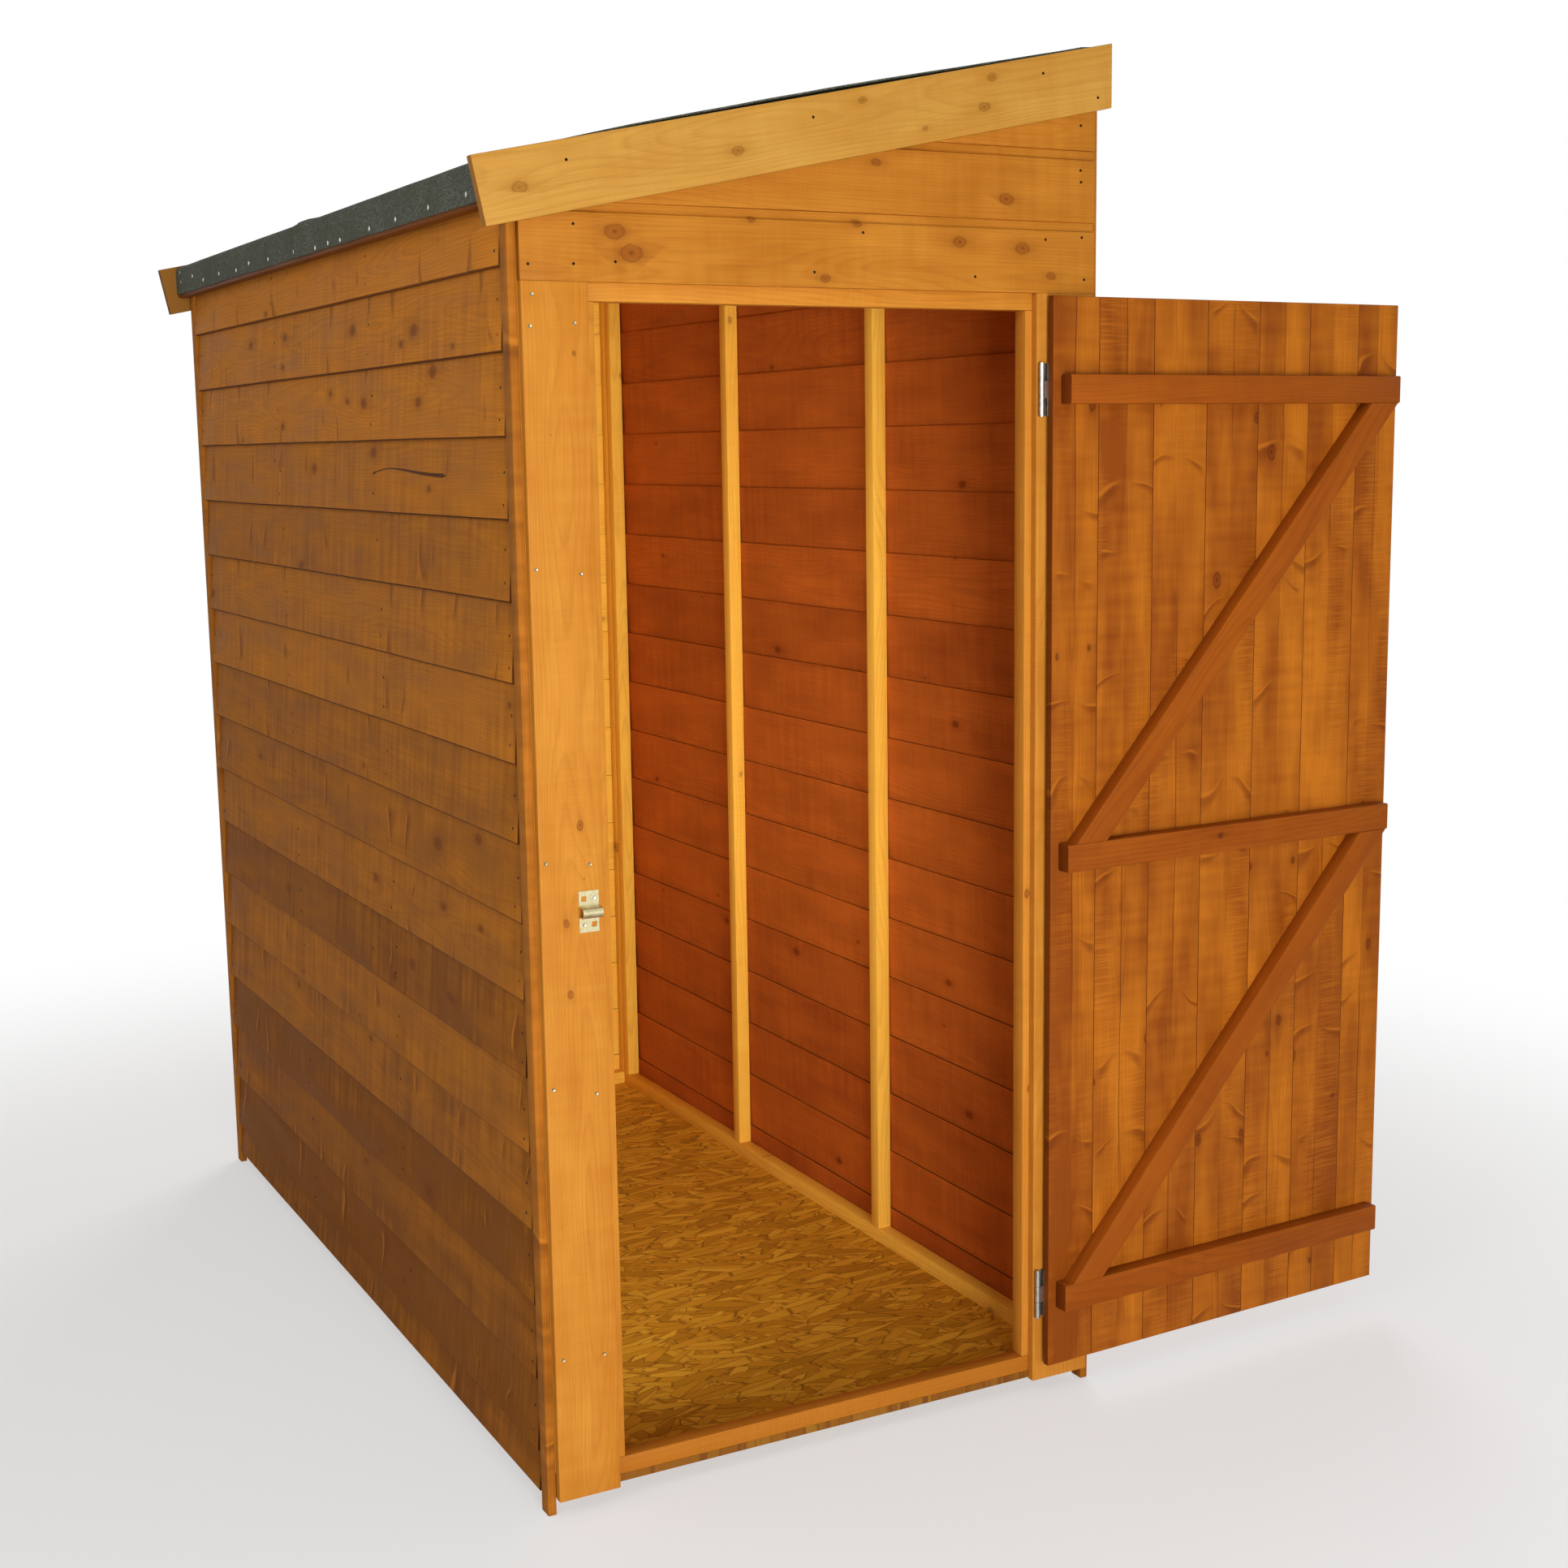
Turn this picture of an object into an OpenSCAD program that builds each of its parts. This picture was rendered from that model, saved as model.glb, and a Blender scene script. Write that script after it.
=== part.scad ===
// Timber pent bike shed: lapped softwood walls on a batten frame, felt on a single slope,
// and a ledged and braced door on butt hinges in the narrow end.
// X runs across the door end, Y from the door to the back, Z up. The ground is at Z = 0.

/* [Overall] */
// Width of the shed over its corner strips
shed_width = 954; // [850:1:1300]
// Length of the wall frames, front face to back face
shed_length = 1830; // [1500:1:2600]
// Height of the roof deck's underside over the low wall's outer face
eave_height = 1899; // [1840:1:2100]
// Slope of the roof in degrees
roof_pitch = 11.7; // [6:0.1:16]

/* [Floor] */
// Height of a floor bearer
bearer_height = 26; // [20:1:60]
// Width of a floor bearer
bearer_width = 44; // [30:1:70]
// Number of floor bearers
bearer_count = 3; // [3:2:5]
// Distance of the bearers' ends from the wall frames' outer faces
bearer_end_inset = 60; // [40:1:120]
// Distance of the outer bearers from the wall frames' outer faces
bearer_side_inset = 60; // [40:1:120]
// Thickness of the floor sheet
floor_sheet_thickness = 11; // [9:1:22]

/* [Framing] */
// Thickness and width of a framing batten
batten = 27; // [22:1:44]
// Number of studs in a long wall
side_stud_count = 4; // [3:1:6]
// Number of studs in the back wall
back_stud_count = 3; // [3:1:5]
// Height of the roof purlin
purlin_height = 44; // [35:1:90]

/* [Lapped boards] */
// Thickness of a wall board at its lower edge
board_butt = 9; // [6:0.5:14]
// Thickness of a wall board at its upper edge
board_tip = 4; // [3:0.5:6]
// Height of a wall board that the next one covers
board_lap = 15; // [10:1:30]
// Height of a wall course that shows
course = 112.3; // [80:0.1:160]
// Height of the lowest wall course that shows
first_course = 62; // [40:1:112]
// Reach of the wall boards below the floor's top
board_drop = 13; // [5:1:30]
// Gap between a board's end and a corner strip
board_end_gap = 1; // [0.5:0.5:3]
// Width of a corner strip along the long wall
strip_width = 26; // [20:1:45]

/* [Shiplap boards] */
// Thickness of the gable's and the door's boards
shiplap_thickness = 12; // [10:0.5:18]
// Height of a gable course
gable_course = 105; // [80:1:160]
// Depth of the cove beside a shiplap joint
cove_depth = 5; // [3:0.5:6]
// Width of the flat bottom of the cove
cove_flat = 9; // [6:1:14]
// Width of the notch that a joint shows on the boards' inner face
joint_notch = 1.2; // [0.6:0.2:3]

/* [Doorway] */
// Drop from the roof deck at the low wall to the gable boards' lower edge, over the door
head_drop = 149; // [125:1:220]
// Thickness of the cover boards beside the door
cover_thickness = 14; // [13:0.5:20]
// Width of the cover board on the closing side
left_cover_width = 96; // [80:1:140]
// Width of the cover board on the hinge side
right_cover_width = 105; // [80:1:140]
// Width of the closing-side door post that shows as a stop
left_stop = 14; // [10:1:20]
// Width of the hinge-side door post that shows as a stop
right_stop = 12; // [10:1:20]
// Height of the head rail that shows as a stop
head_stop = 25; // [14:1:26]
// Height of the sill that the door's foot covers
sill_stop = 9; // [5:1:15]

/* [Door] */
// Gap round the door and between the door and its stops
door_gap = 5; // [5:0.5:8]
// Number of boards across the door
door_board_count = 7; // [5:2:9]
// Face width of a full door board
door_board_cover = 108; // [70:1:115]
// Height of a ledge
ledge_height = 44; // [35:1:70]
// Thickness of a ledge and of a brace
ledge_thickness = 26; // [18:1:35]
// Distance of a ledge's end from the hinge edge
ledge_hinge_inset = 15; // [14:1:40]
// Distance of a ledge's end from the free edge
ledge_free_inset = 16; // [16:1:50]
// Distance of the top ledge's middle from the door's top
top_ledge_drop = 138; // [80:1:250]
// Distance of the bottom ledge's middle from the door's foot
bottom_ledge_rise = 119; // [80:1:250]
// Width of a brace
brace_width = 45; // [35:1:70]
// Distance of a brace's foot from the ledge's hinge end
brace_foot_inset = 16; // [5:1:60]
// Distance of a brace's head from the ledge's free end
brace_head_inset = 4; // [2:1:60]
// Angle that the door stands open
door_open = 182.5; // [90:0.5:182.5]

/* [Hinges] */
// Height of a hinge
hinge_height = 78; // [60:1:110]
// Width of a hinge leaf from the pin's centre
leaf_width = 27; // [20:1:45]
// Thickness of a hinge leaf
leaf_thickness = 2.2; // [1.6:0.1:3]
// Depth that a hinge leaf runs into its knuckle
leaf_bite = 0.4; // [0.2:0.1:0.8]
// Radius of a hinge knuckle
knuckle_radius = 4.5; // [4:0.1:6]
// Radius of a hinge pin
pin_radius = 2.4; // [1.8:0.1:3]
// Clearance of the pin in the knuckles
pin_clearance = 0.1; // [0.05:0.01:0.1]
// Gap between two knuckles
knuckle_gap = 0.5; // [0.3:0.1:1]
// Distance of the pin from the cover board's edge
pin_inset = 4.5; // [3:0.5:8]
// Radius of a pin's head
pin_head_radius = 3.4; // [3.2:0.1:4.5]
// Thickness of a pin's head
pin_head_thickness = 1.2; // [0.8:0.1:2]
// Radius of a screw hole in the hardware
screw_hole_radius = 2.2; // [1.5:0.1:3]

/* [Bolt] */
// Thickness of the bolt's base plate
bolt_plate_thickness = 1.6; // [1:0.1:3]
// Radius of the bolt's rod
bolt_rod_radius = 5.5; // [4:0.1:7]
// Length of the bolt's rod
bolt_rod_length = 104; // [80:1:140]
// Distance of the rod's end from the door's free edge
bolt_rod_inset = 4; // [2:1:20]
// Clearance of the rod in its straps and keeper
bolt_clearance = 0.7; // [0.3:0.1:1.5]
// Thickness of the metal of the keeper and of the straps
hoop_wall = 1.6; // [1:0.1:3]
// Height of the bolt's base plate
bolt_plate_height = 40; // [34:1:50]
// Length of the bolt's base plate
bolt_plate_length = 90; // [70:1:120]
// Width of a strap along the rod
strap_width = 12; // [8:1:18]
// Height of the keeper over both flanges
keeper_height = 59; // [52:1:80]
// Width of the keeper's strip
keeper_width = 30; // [24:1:40]
// Width of the square holes in the keeper
keeper_slot = 7.5; // [4:0.5:9]
// Distance of the keeper from the cover board's edge
keeper_inset = 10; // [6:1:30]
// Radius of the knob on the rod
knob_radius = 4.5; // [3:0.1:6]
// Length of the knob on the rod
knob_length = 16; // [10:1:24]

/* [Roof] */
// Gap between the roof deck and what it rests on
roof_seat = 0.3; // [0.1:0.1:1]
// Thickness of the roof deck
deck_thickness = 11; // [9:1:18]
// Thickness of the eave batten
eave_batten_thickness = 20; // [16:1:40]
// Height of the eave batten
eave_batten_height = 50; // [35:1:70]
// Thickness of the felt
felt_thickness = 2.5; // [2:0.1:4]
// Height of the eave batten that the felt leaves bare
felt_short = 6; // [3:1:15]
// Turn-down of the felt on the tall wall
felt_turn_down = 45; // [30:1:80]
// Distance of the felt's lap from the front of the frames
felt_lap_start = 860; // [600:1:1000]
// Width of the felt's lap
felt_lap = 75; // [50:1:120]
// Clearance of the upper felt over the lower one in the lap
felt_clearance = 0.3; // [0.2:0.1:0.6]
// Width of the upper felt's step up to the lap
felt_step = 8; // [4:1:20]
// Width of a barge board
barge_width = 91; // [70:1:140]
// Thickness of a barge board
barge_thickness = 16; // [12:1:22]
// Reach of a barge board past the low wall, along the slope
barge_reach = 54; // [30:1:90]
// Reach of a barge board past the tall wall
barge_end = 4; // [3:0.5:20]
// Height of a barge board's upper edge over the felt
barge_rise = 0.5; // [0:0.5:5]

/* [Hidden] */
curve_facets = 48;
cladding_depth = board_butt + board_tip;
left_x = -shed_width / 2;
right_x = shed_width / 2;
front_y = -shed_length / 2;
back_y = shed_length / 2;
left_frame_x = left_x + cladding_depth;
right_frame_x = right_x - cladding_depth;
floor_top = bearer_height + floor_sheet_thickness;
board_foot = floor_top - board_drop;
sill_top = floor_top + batten;
roof_rise = tan(roof_pitch);
roof_top = eave_height + (shed_width + eave_batten_thickness) * roof_rise + deck_thickness * 2;

left_opening_x = left_frame_x + left_cover_width;
right_opening_x = right_frame_x - right_cover_width;
left_post_x = left_opening_x + left_stop;
right_post_x = right_opening_x - right_stop;
door_head = eave_height - head_drop;
head_rail_foot = door_head - head_stop;

door_hinge_x = right_opening_x - door_gap;
door_free_x = left_opening_x + door_gap;
door_width = door_hinge_x - door_free_x;
door_foot = sill_top - sill_stop;
door_top = door_head - door_gap;
door_height = door_top - door_foot;
door_inner_y = front_y - door_gap;
door_outer_y = door_inner_y - shiplap_thickness;
door_edge_board = (door_width - (door_board_count - 2) * door_board_cover) / 2;
door_joints = [for (i = [0 : door_board_count - 2]) door_free_x + door_edge_board + i * door_board_cover];
gable_joints = [for (joint = [door_head + gable_course : gable_course : roof_top]) joint];
cover_y = front_y - cover_thickness;
pin_x = right_opening_x + pin_inset;
pin_y = cover_y - leaf_thickness + leaf_bite - knuckle_radius;
top_ledge_z = door_top - top_ledge_drop;
bottom_ledge_z = door_foot + bottom_ledge_rise;
middle_ledge_z = (top_ledge_z + bottom_ledge_z) / 2;
ledge_free_x = door_free_x + ledge_free_inset;
ledge_hinge_x = door_hinge_x - ledge_hinge_inset;
hinge_levels = [bottom_ledge_z, top_ledge_z];
knuckle_height = (hinge_height - 2 * knuckle_gap) / 3;
leaf_root = sqrt(pow(knuckle_radius, 2) - pow(pin_radius + pin_clearance, 2)) / 2;

rod_y = door_outer_y - bolt_plate_thickness - bolt_rod_radius - bolt_clearance;
bore_radius = bolt_rod_radius + bolt_clearance;
keeper_x = left_opening_x - keeper_inset - keeper_width / 2;
keeper_flange = keeper_height / 2 - bore_radius - hoop_wall;
bolt_height = middle_ledge_z;
rod_end_x = door_free_x + bolt_rod_inset;
bolt_plate_x = rod_end_x + bolt_rod_inset;

roof_front_y = cover_y;
roof_back_y = back_y + cover_thickness;
batten_x = left_x - eave_batten_thickness;
lap_y = front_y + felt_lap_start;
felt_top = felt_thickness * 2 + felt_clearance;
eave_foot = eave_height - eave_batten_height;
barge_top = deck_thickness + felt_top + barge_rise;

// Height of the roof deck's underside at a place across the shed
function deck_under(x) = eave_height + (x - left_x) * roof_rise;

// Height of the walls, posts and battens that the deck rests on
function wall_top(x) = deck_under(x) - roof_seat;

// Height of a surface that lies a distance above the deck's underside, square to the slope
function above_deck(x, rise) = deck_under(x) + rise / cos(roof_pitch);

// Place of a stud in a row of studs between two ends
function stud_place(first, last, count, i) = first + i * (last - batten - first) / (count - 1);

// Extrudes an X-Z profile along Y
module along_y(from, to) {
    translate([0, to, 0])
        rotate([90, 0, 0])
            linear_extrude(to - from)
                children();
}

// Extrudes a Y-Z profile along X
module along_x(from, to) {
    translate([from, 0, 0])
        rotate([90, 0, 90])
            linear_extrude(to - from)
                children();
}

// A box between two corners
module block(low, high) {
    translate(low)
        cube(high - low);
}

// Everything under the roof deck, as an X-Z profile
module under_deck(from, to) {
    polygon([
        [from, 0],
        [to, 0],
        [to, wall_top(to)],
        [from, wall_top(from)]
    ]);
}

// One tapered wall board: its lower edge stands out over the upper edge of the board below
module board_section(low, high) {
    polygon([
        [board_tip, low],
        [cladding_depth, low],
        [board_tip, high],
        [0, high]
    ]);
}

// Lapped courses from a lower edge up, as a depth-height profile
module lapped_section(low, first, show, top) {
    board_section(low, low + first + board_lap);
    for (edge = [low + first : show : top])
        board_section(edge, edge + show + board_lap);
}

// Shiplap boards edge to edge, as a thickness-width profile with a cove beside each joint
module shiplap_section(low, high, joints) {
    difference() {
        translate([0, low])
            square([shiplap_thickness, high - low]);
        for (joint = joints) {
            translate([shiplap_thickness - cove_depth, joint - cove_flat])
                square([2 * cove_depth, cove_flat]);
            translate([shiplap_thickness, joint - cove_flat])
                circle(r = cove_depth, $fn = curve_facets);
            translate([0, joint])
                rotate(45)
                    square(joint_notch / sqrt(2), center = true);
        }
    }
}

// A batten across the shed under the sloping deck
module sloping_rail(from_x, to_x, from_y, to_y) {
    along_y(from_y, to_y)
        polygon([
            [from_x, wall_top(from_x) - batten],
            [to_x, wall_top(to_x) - batten],
            [to_x, wall_top(to_x)],
            [from_x, wall_top(from_x)]
        ]);
}

// Upright batten that stops at the wall's top or a distance below it
module sloping_post(from_x, from_y, foot, below) {
    along_y(from_y, from_y + batten)
        polygon([
            [from_x, foot],
            [from_x + batten, foot],
            [from_x + batten, wall_top(from_x + batten) - below],
            [from_x, wall_top(from_x) - below]
        ]);
}

// Frame of a long wall: bottom rail, studs and a top rail planed to the slope
module long_wall_frame(from_x) {
    from_y = front_y + batten;
    to_y = back_y - batten;
    rail_foot = wall_top(from_x) - batten;
    block([from_x, from_y, floor_top], [from_x + batten, to_y, sill_top]);
    along_y(from_y, to_y)
        polygon([
            [from_x, rail_foot],
            [from_x + batten, rail_foot],
            [from_x + batten, wall_top(from_x + batten)],
            [from_x, wall_top(from_x)]
        ]);
    for (i = [0 : side_stud_count - 1])
        translate([0, stud_place(from_y, to_y, side_stud_count, i), 0])
            block([from_x, 0, floor_top], [from_x + batten, batten, wall_top(from_x)]);
}

// A corner strip from the ground to the deck
module corner_strip(from_x, from_y) {
    along_y(from_y, from_y + strip_width)
        under_deck(from_x, from_x + cladding_depth);
}

// The felt's bent section between two distances from the deck
module felt_section(inner, outer) {
    eave_in = batten_x - inner;
    eave_out = batten_x - outer;
    tall_in = right_x + inner;
    tall_out = right_x + outer;
    eave_edge = eave_foot + felt_short;
    tall_edge = deck_under(right_x) - felt_turn_down;
    polygon([
        [eave_out, eave_edge],
        [eave_out, above_deck(eave_out, deck_thickness + outer)],
        [tall_out, above_deck(tall_out, deck_thickness + outer)],
        [tall_out, tall_edge],
        [tall_in, tall_edge],
        [tall_in, above_deck(tall_in, deck_thickness + inner)],
        [eave_in, above_deck(eave_in, deck_thickness + inner)],
        [eave_in, eave_edge]
    ]);
}

// A barge board: square end at the eave, plumb end at the tall wall
module barge_section() {
    reach = shed_width + barge_end;
    intersection() {
        translate([left_x, eave_height])
            rotate(roof_pitch)
                translate([-barge_reach, barge_top - barge_width])
                    square([barge_reach + reach / cos(roof_pitch) + barge_width, barge_width]);
        translate([left_x - reach, 0])
            square([2 * reach, 2 * roof_top]);
    }
}

// Turns the door's pieces from the closed door to where it stands open
module hung_door() {
    translate([pin_x, pin_y, 0])
        rotate(door_open)
            translate([-pin_x, -pin_y, 0])
                children();
}

// A ledge across the door's inner face
module ledge(middle) {
    hung_door()
        block(
            [ledge_free_x, door_inner_y, middle - ledge_height / 2],
            [ledge_hinge_x, door_inner_y + ledge_thickness, middle + ledge_height / 2]
        );
}

// A brace that rises from the hinge side to the free side between two ledges
module brace(lower, upper) {
    foot_z = lower + ledge_height / 2;
    head_z = upper - ledge_height / 2;
    foot_x = ledge_hinge_x - brace_foot_inset;
    head_x = ledge_free_x + brace_head_inset;
    lean = atan((foot_x - head_x - brace_width) / (head_z - foot_z));
    cut = brace_width / cos(lean);
    hung_door()
        along_y(door_inner_y, door_inner_y + ledge_thickness)
            polygon([
                [foot_x - cut, foot_z],
                [foot_x, foot_z],
                [head_x + cut, head_z],
                [head_x, head_z]
            ]);
}

// One knuckle of a hinge, bored for the pin
module knuckle(foot) {
    translate([pin_x, pin_y, foot])
        difference() {
            cylinder(r = knuckle_radius, h = knuckle_height, $fn = curve_facets);
            translate([0, 0, -knuckle_height])
                cylinder(r = pin_radius + pin_clearance, h = 3 * knuckle_height, $fn = curve_facets);
        }
}

// Screw holes through a leaf
module leaf_holes(at_x, at_y, middle) {
    for (side = [-1, 1])
        translate([at_x, at_y, middle + side * hinge_height / 3])
            rotate([90, 0, 0])
                cylinder(r = screw_hole_radius, h = 4 * leaf_thickness, center = true, $fn = curve_facets);
}

// Outline of a hoop over the rod, in Y and Z from the rod's middle, down to a plate behind it
module hoop_outline(radius, depth) {
    circle(r = radius, $fn = curve_facets);
    translate([0, -radius])
        square([depth, 2 * radius]);
}

// A bent strap over the rod
module hoop(from_x, to_x, face_y) {
    depth = face_y - rod_y;
    along_x(from_x, to_x)
        translate([rod_y, bolt_height])
            difference() {
                hoop_outline(bore_radius + hoop_wall, depth);
                hoop_outline(bore_radius, depth + hoop_wall);
            }
}

// A round hole through the bolt's metal, along Y
module screw_hole(at_x, at_y, at_z) {
    translate([at_x, at_y, at_z])
        rotate([90, 0, 0])
            cylinder(r = screw_hole_radius, h = 4 * bolt_plate_thickness, center = true, $fn = curve_facets);
}

module floor_bearers() {
    first = left_frame_x + bearer_side_inset;
    last = right_frame_x - bearer_side_inset - bearer_width;
    color("#a5763f")
        for (i = [0 : bearer_count - 1])
            translate([first + i * (last - first) / (bearer_count - 1), 0, 0])
                block(
                    [0, front_y + bearer_end_inset, 0],
                    [bearer_width, back_y - bearer_end_inset, bearer_height]
                );
}

module floor_sheet() {
    color("#b88a45")
        block([left_frame_x, front_y, bearer_height], [right_frame_x, back_y, floor_top]);
}

module left_wall_boards() {
    color("#8a5326")
        along_y(front_y + strip_width + board_end_gap, back_y - strip_width - board_end_gap)
            intersection() {
                translate([left_frame_x, 0])
                    mirror([1, 0])
                        lapped_section(board_foot, first_course, course, roof_top);
                under_deck(left_x, left_frame_x);
            }
}

module right_wall_boards() {
    color("#9c5a26")
        along_y(front_y + strip_width + board_end_gap, back_y - strip_width - board_end_gap)
            intersection() {
                translate([right_frame_x, 0])
                    lapped_section(board_foot, first_course, course, roof_top);
                under_deck(right_frame_x, right_x);
            }
}

module back_wall_boards() {
    color("#955627")
        intersection() {
            along_x(left_frame_x, right_frame_x)
                translate([back_y, 0])
                    lapped_section(board_foot, first_course, course, roof_top);
            along_y(back_y, back_y + cladding_depth)
                under_deck(left_frame_x, right_frame_x);
        }
}

module gable_boards() {
    color("#c8842f")
        intersection() {
            along_x(left_frame_x, right_frame_x)
                translate([front_y, 0])
                    mirror([1, 0])
                        shiplap_section(door_head, roof_top, gable_joints);
            along_y(front_y - shiplap_thickness, front_y)
                under_deck(left_frame_x, right_frame_x);
        }
}

module left_cover_board() {
    color("#c4792a")
        block([left_frame_x, cover_y, board_foot], [left_opening_x, front_y, door_head]);
}

module right_cover_board() {
    color("#c4792a")
        block([right_opening_x, cover_y, board_foot], [right_frame_x, front_y, door_head]);
}

module front_left_strip() {
    color("#b56f28")
        corner_strip(left_x, front_y);
}

module front_right_strip() {
    color("#b56f28")
        corner_strip(right_frame_x, front_y);
}

module back_left_strip() {
    color("#a86626")
        corner_strip(left_x, back_y - strip_width);
}

module back_right_strip() {
    color("#a86626")
        corner_strip(right_frame_x, back_y - strip_width);
}

module left_wall_frame() {
    color("#d9a24b")
        long_wall_frame(left_frame_x);
}

module right_wall_frame() {
    color("#d9a24b")
        long_wall_frame(right_frame_x - batten);
}

module back_wall_frame() {
    from_y = back_y - batten;
    color("#d9a24b") {
        block([left_frame_x, from_y, floor_top], [right_frame_x, back_y, sill_top]);
        sloping_rail(left_frame_x, right_frame_x, from_y, back_y);
        for (i = [0 : back_stud_count - 1])
            sloping_post(stud_place(left_frame_x, right_frame_x, back_stud_count, i), from_y, floor_top, 0);
    }
}

module front_corner_posts() {
    color("#d9a24b") {
        sloping_post(left_frame_x, front_y, sill_top, batten + roof_seat);
        sloping_post(right_frame_x - batten, front_y, sill_top, batten + roof_seat);
    }
}

module door_posts() {
    color("#c98a3a") {
        block([left_post_x - batten, front_y, sill_top], [left_post_x, front_y + batten, head_rail_foot]);
        block([right_post_x, front_y, sill_top], [right_post_x + batten, front_y + batten, head_rail_foot]);
    }
}

module door_head_rail() {
    color("#c98a3a")
        block(
            [left_frame_x + batten, front_y, head_rail_foot],
            [right_frame_x - batten, front_y + batten, head_rail_foot + batten]
        );
}

module door_sill() {
    color("#b87a35")
        block([left_frame_x, front_y, floor_top], [right_frame_x, front_y + batten, sill_top]);
}

module front_top_rail() {
    color("#d9a24b")
        sloping_rail(left_frame_x, right_frame_x, front_y, front_y + batten);
}

module roof_deck() {
    color("#b98c4c")
        along_y(roof_front_y, roof_back_y)
            polygon([
                [batten_x, deck_under(batten_x)],
                [right_x, deck_under(right_x)],
                [right_x, above_deck(right_x, deck_thickness)],
                [batten_x, above_deck(batten_x, deck_thickness)]
            ]);
}

module roof_purlin() {
    color("#d9a24b")
        along_y(front_y + batten, back_y - batten)
            polygon([
                [-batten / 2, wall_top(0) - purlin_height],
                [batten / 2, wall_top(0) - purlin_height],
                [batten / 2, wall_top(batten / 2)],
                [-batten / 2, wall_top(-batten / 2)]
            ]);
}

module eave_batten() {
    color("#a86a2c")
        along_y(roof_front_y, roof_back_y)
            polygon([
                [batten_x, eave_foot],
                [left_x, eave_foot],
                [left_x, wall_top(left_x)],
                [batten_x, wall_top(batten_x)]
            ]);
}

module front_felt() {
    color("#47504a") {
        along_y(roof_front_y, lap_y - felt_clearance)
            felt_section(0, felt_thickness);
        along_y(lap_y - felt_step, lap_y - felt_clearance)
            felt_section(0, felt_top);
        along_y(lap_y - felt_step, lap_y + felt_lap)
            felt_section(felt_thickness + felt_clearance, felt_top);
    }
}

module back_felt() {
    color("#434c47")
        along_y(lap_y, roof_back_y)
            felt_section(0, felt_thickness);
}

module front_barge_board() {
    color("#d8a957")
        along_y(roof_front_y - barge_thickness, roof_front_y)
            barge_section();
}

module back_barge_board() {
    color("#d0a050")
        along_y(roof_back_y, roof_back_y + barge_thickness)
            barge_section();
}

module door_boards() {
    color("#a9581e")
        hung_door()
            translate([0, door_inner_y, door_foot])
                linear_extrude(door_height)
                    rotate(-90)
                        shiplap_section(door_free_x, door_hinge_x, door_joints);
}

module door_top_ledge() {
    color("#9a4c1a")
        ledge(top_ledge_z);
}

module door_middle_ledge() {
    color("#9a4c1a")
        ledge(middle_ledge_z);
}

module door_bottom_ledge() {
    color("#9a4c1a")
        ledge(bottom_ledge_z);
}

module door_upper_brace() {
    color("#a5571f")
        brace(middle_ledge_z, top_ledge_z);
}

module door_lower_brace() {
    color("#a5571f")
        brace(bottom_ledge_z, middle_ledge_z);
}

module hinge_door_leaves() {
    color("#b9b6a6")
        hung_door()
            for (middle = hinge_levels) {
                foot = middle - hinge_height / 2;
                knuckle(foot + knuckle_height + knuckle_gap);
                difference() {
                    union() {
                        block(
                            [pin_x - leaf_width, door_outer_y - leaf_thickness, foot],
                            [door_hinge_x, door_outer_y, foot + hinge_height]
                        );
                        block(
                            [pin_x - leaf_width, door_outer_y - leaf_thickness, foot + knuckle_height + knuckle_gap],
                            [pin_x - leaf_root, door_outer_y, foot + 2 * knuckle_height + knuckle_gap]
                        );
                    }
                    leaf_holes(pin_x - leaf_width * 2 / 3, door_outer_y, middle);
                    translate([pin_x, pin_y, foot])
                        cylinder(r = pin_radius + pin_clearance, h = hinge_height, $fn = curve_facets);
                }
            }
}

module hinge_frame_leaves() {
    color("#b9b6a6")
        for (middle = hinge_levels) {
            foot = middle - hinge_height / 2;
            knuckle(foot);
            knuckle(foot + 2 * (knuckle_height + knuckle_gap));
            difference() {
                block(
                    [pin_x, cover_y - leaf_thickness, foot],
                    [pin_x + leaf_width, cover_y, foot + hinge_height]
                );
                leaf_holes(pin_x + leaf_width * 2 / 3, cover_y, middle);
                translate([pin_x - knuckle_radius - knuckle_gap, cover_y - 2 * leaf_thickness,
                    foot + knuckle_height])
                    cube([2 * (knuckle_radius + knuckle_gap), 4 * leaf_thickness,
                        knuckle_height + 2 * knuckle_gap]);
            }
        }
}

module hinge_pins() {
    head_gap = pin_clearance;
    color("#c9c6b6")
        for (middle = hinge_levels)
            translate([pin_x, pin_y, middle - hinge_height / 2]) {
                translate([0, 0, -head_gap])
                    cylinder(r = pin_radius, h = hinge_height + 2 * head_gap, $fn = curve_facets);
                translate([0, 0, hinge_height + head_gap])
                    cylinder(r = pin_head_radius, h = pin_head_thickness, $fn = curve_facets);
                translate([0, 0, -head_gap - pin_head_thickness])
                    cylinder(r = pin_head_radius, h = pin_head_thickness, $fn = curve_facets);
            }
}

module bolt_keeper() {
    hole_x = keeper_width / 4;
    hole_z = keeper_height / 2 - keeper_flange / 2;
    color("#c8bd93")
        difference() {
            union() {
                hoop(keeper_x - keeper_width / 2, keeper_x + keeper_width / 2, cover_y);
                for (side = [-1, 1])
                    translate([keeper_x, cover_y - hoop_wall / 2,
                        bolt_height + side * (keeper_height / 2 - (keeper_flange + hoop_wall) / 2)])
                        cube([keeper_width, hoop_wall, keeper_flange + hoop_wall], center = true);
            }
            for (side = [-1, 1]) {
                screw_hole(keeper_x + side * hole_x, cover_y, bolt_height + side * hole_z);
                translate([keeper_x - side * hole_x, cover_y, bolt_height + side * hole_z])
                    cube([keeper_slot, 4 * hoop_wall, keeper_slot], center = true);
            }
        }
}

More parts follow.
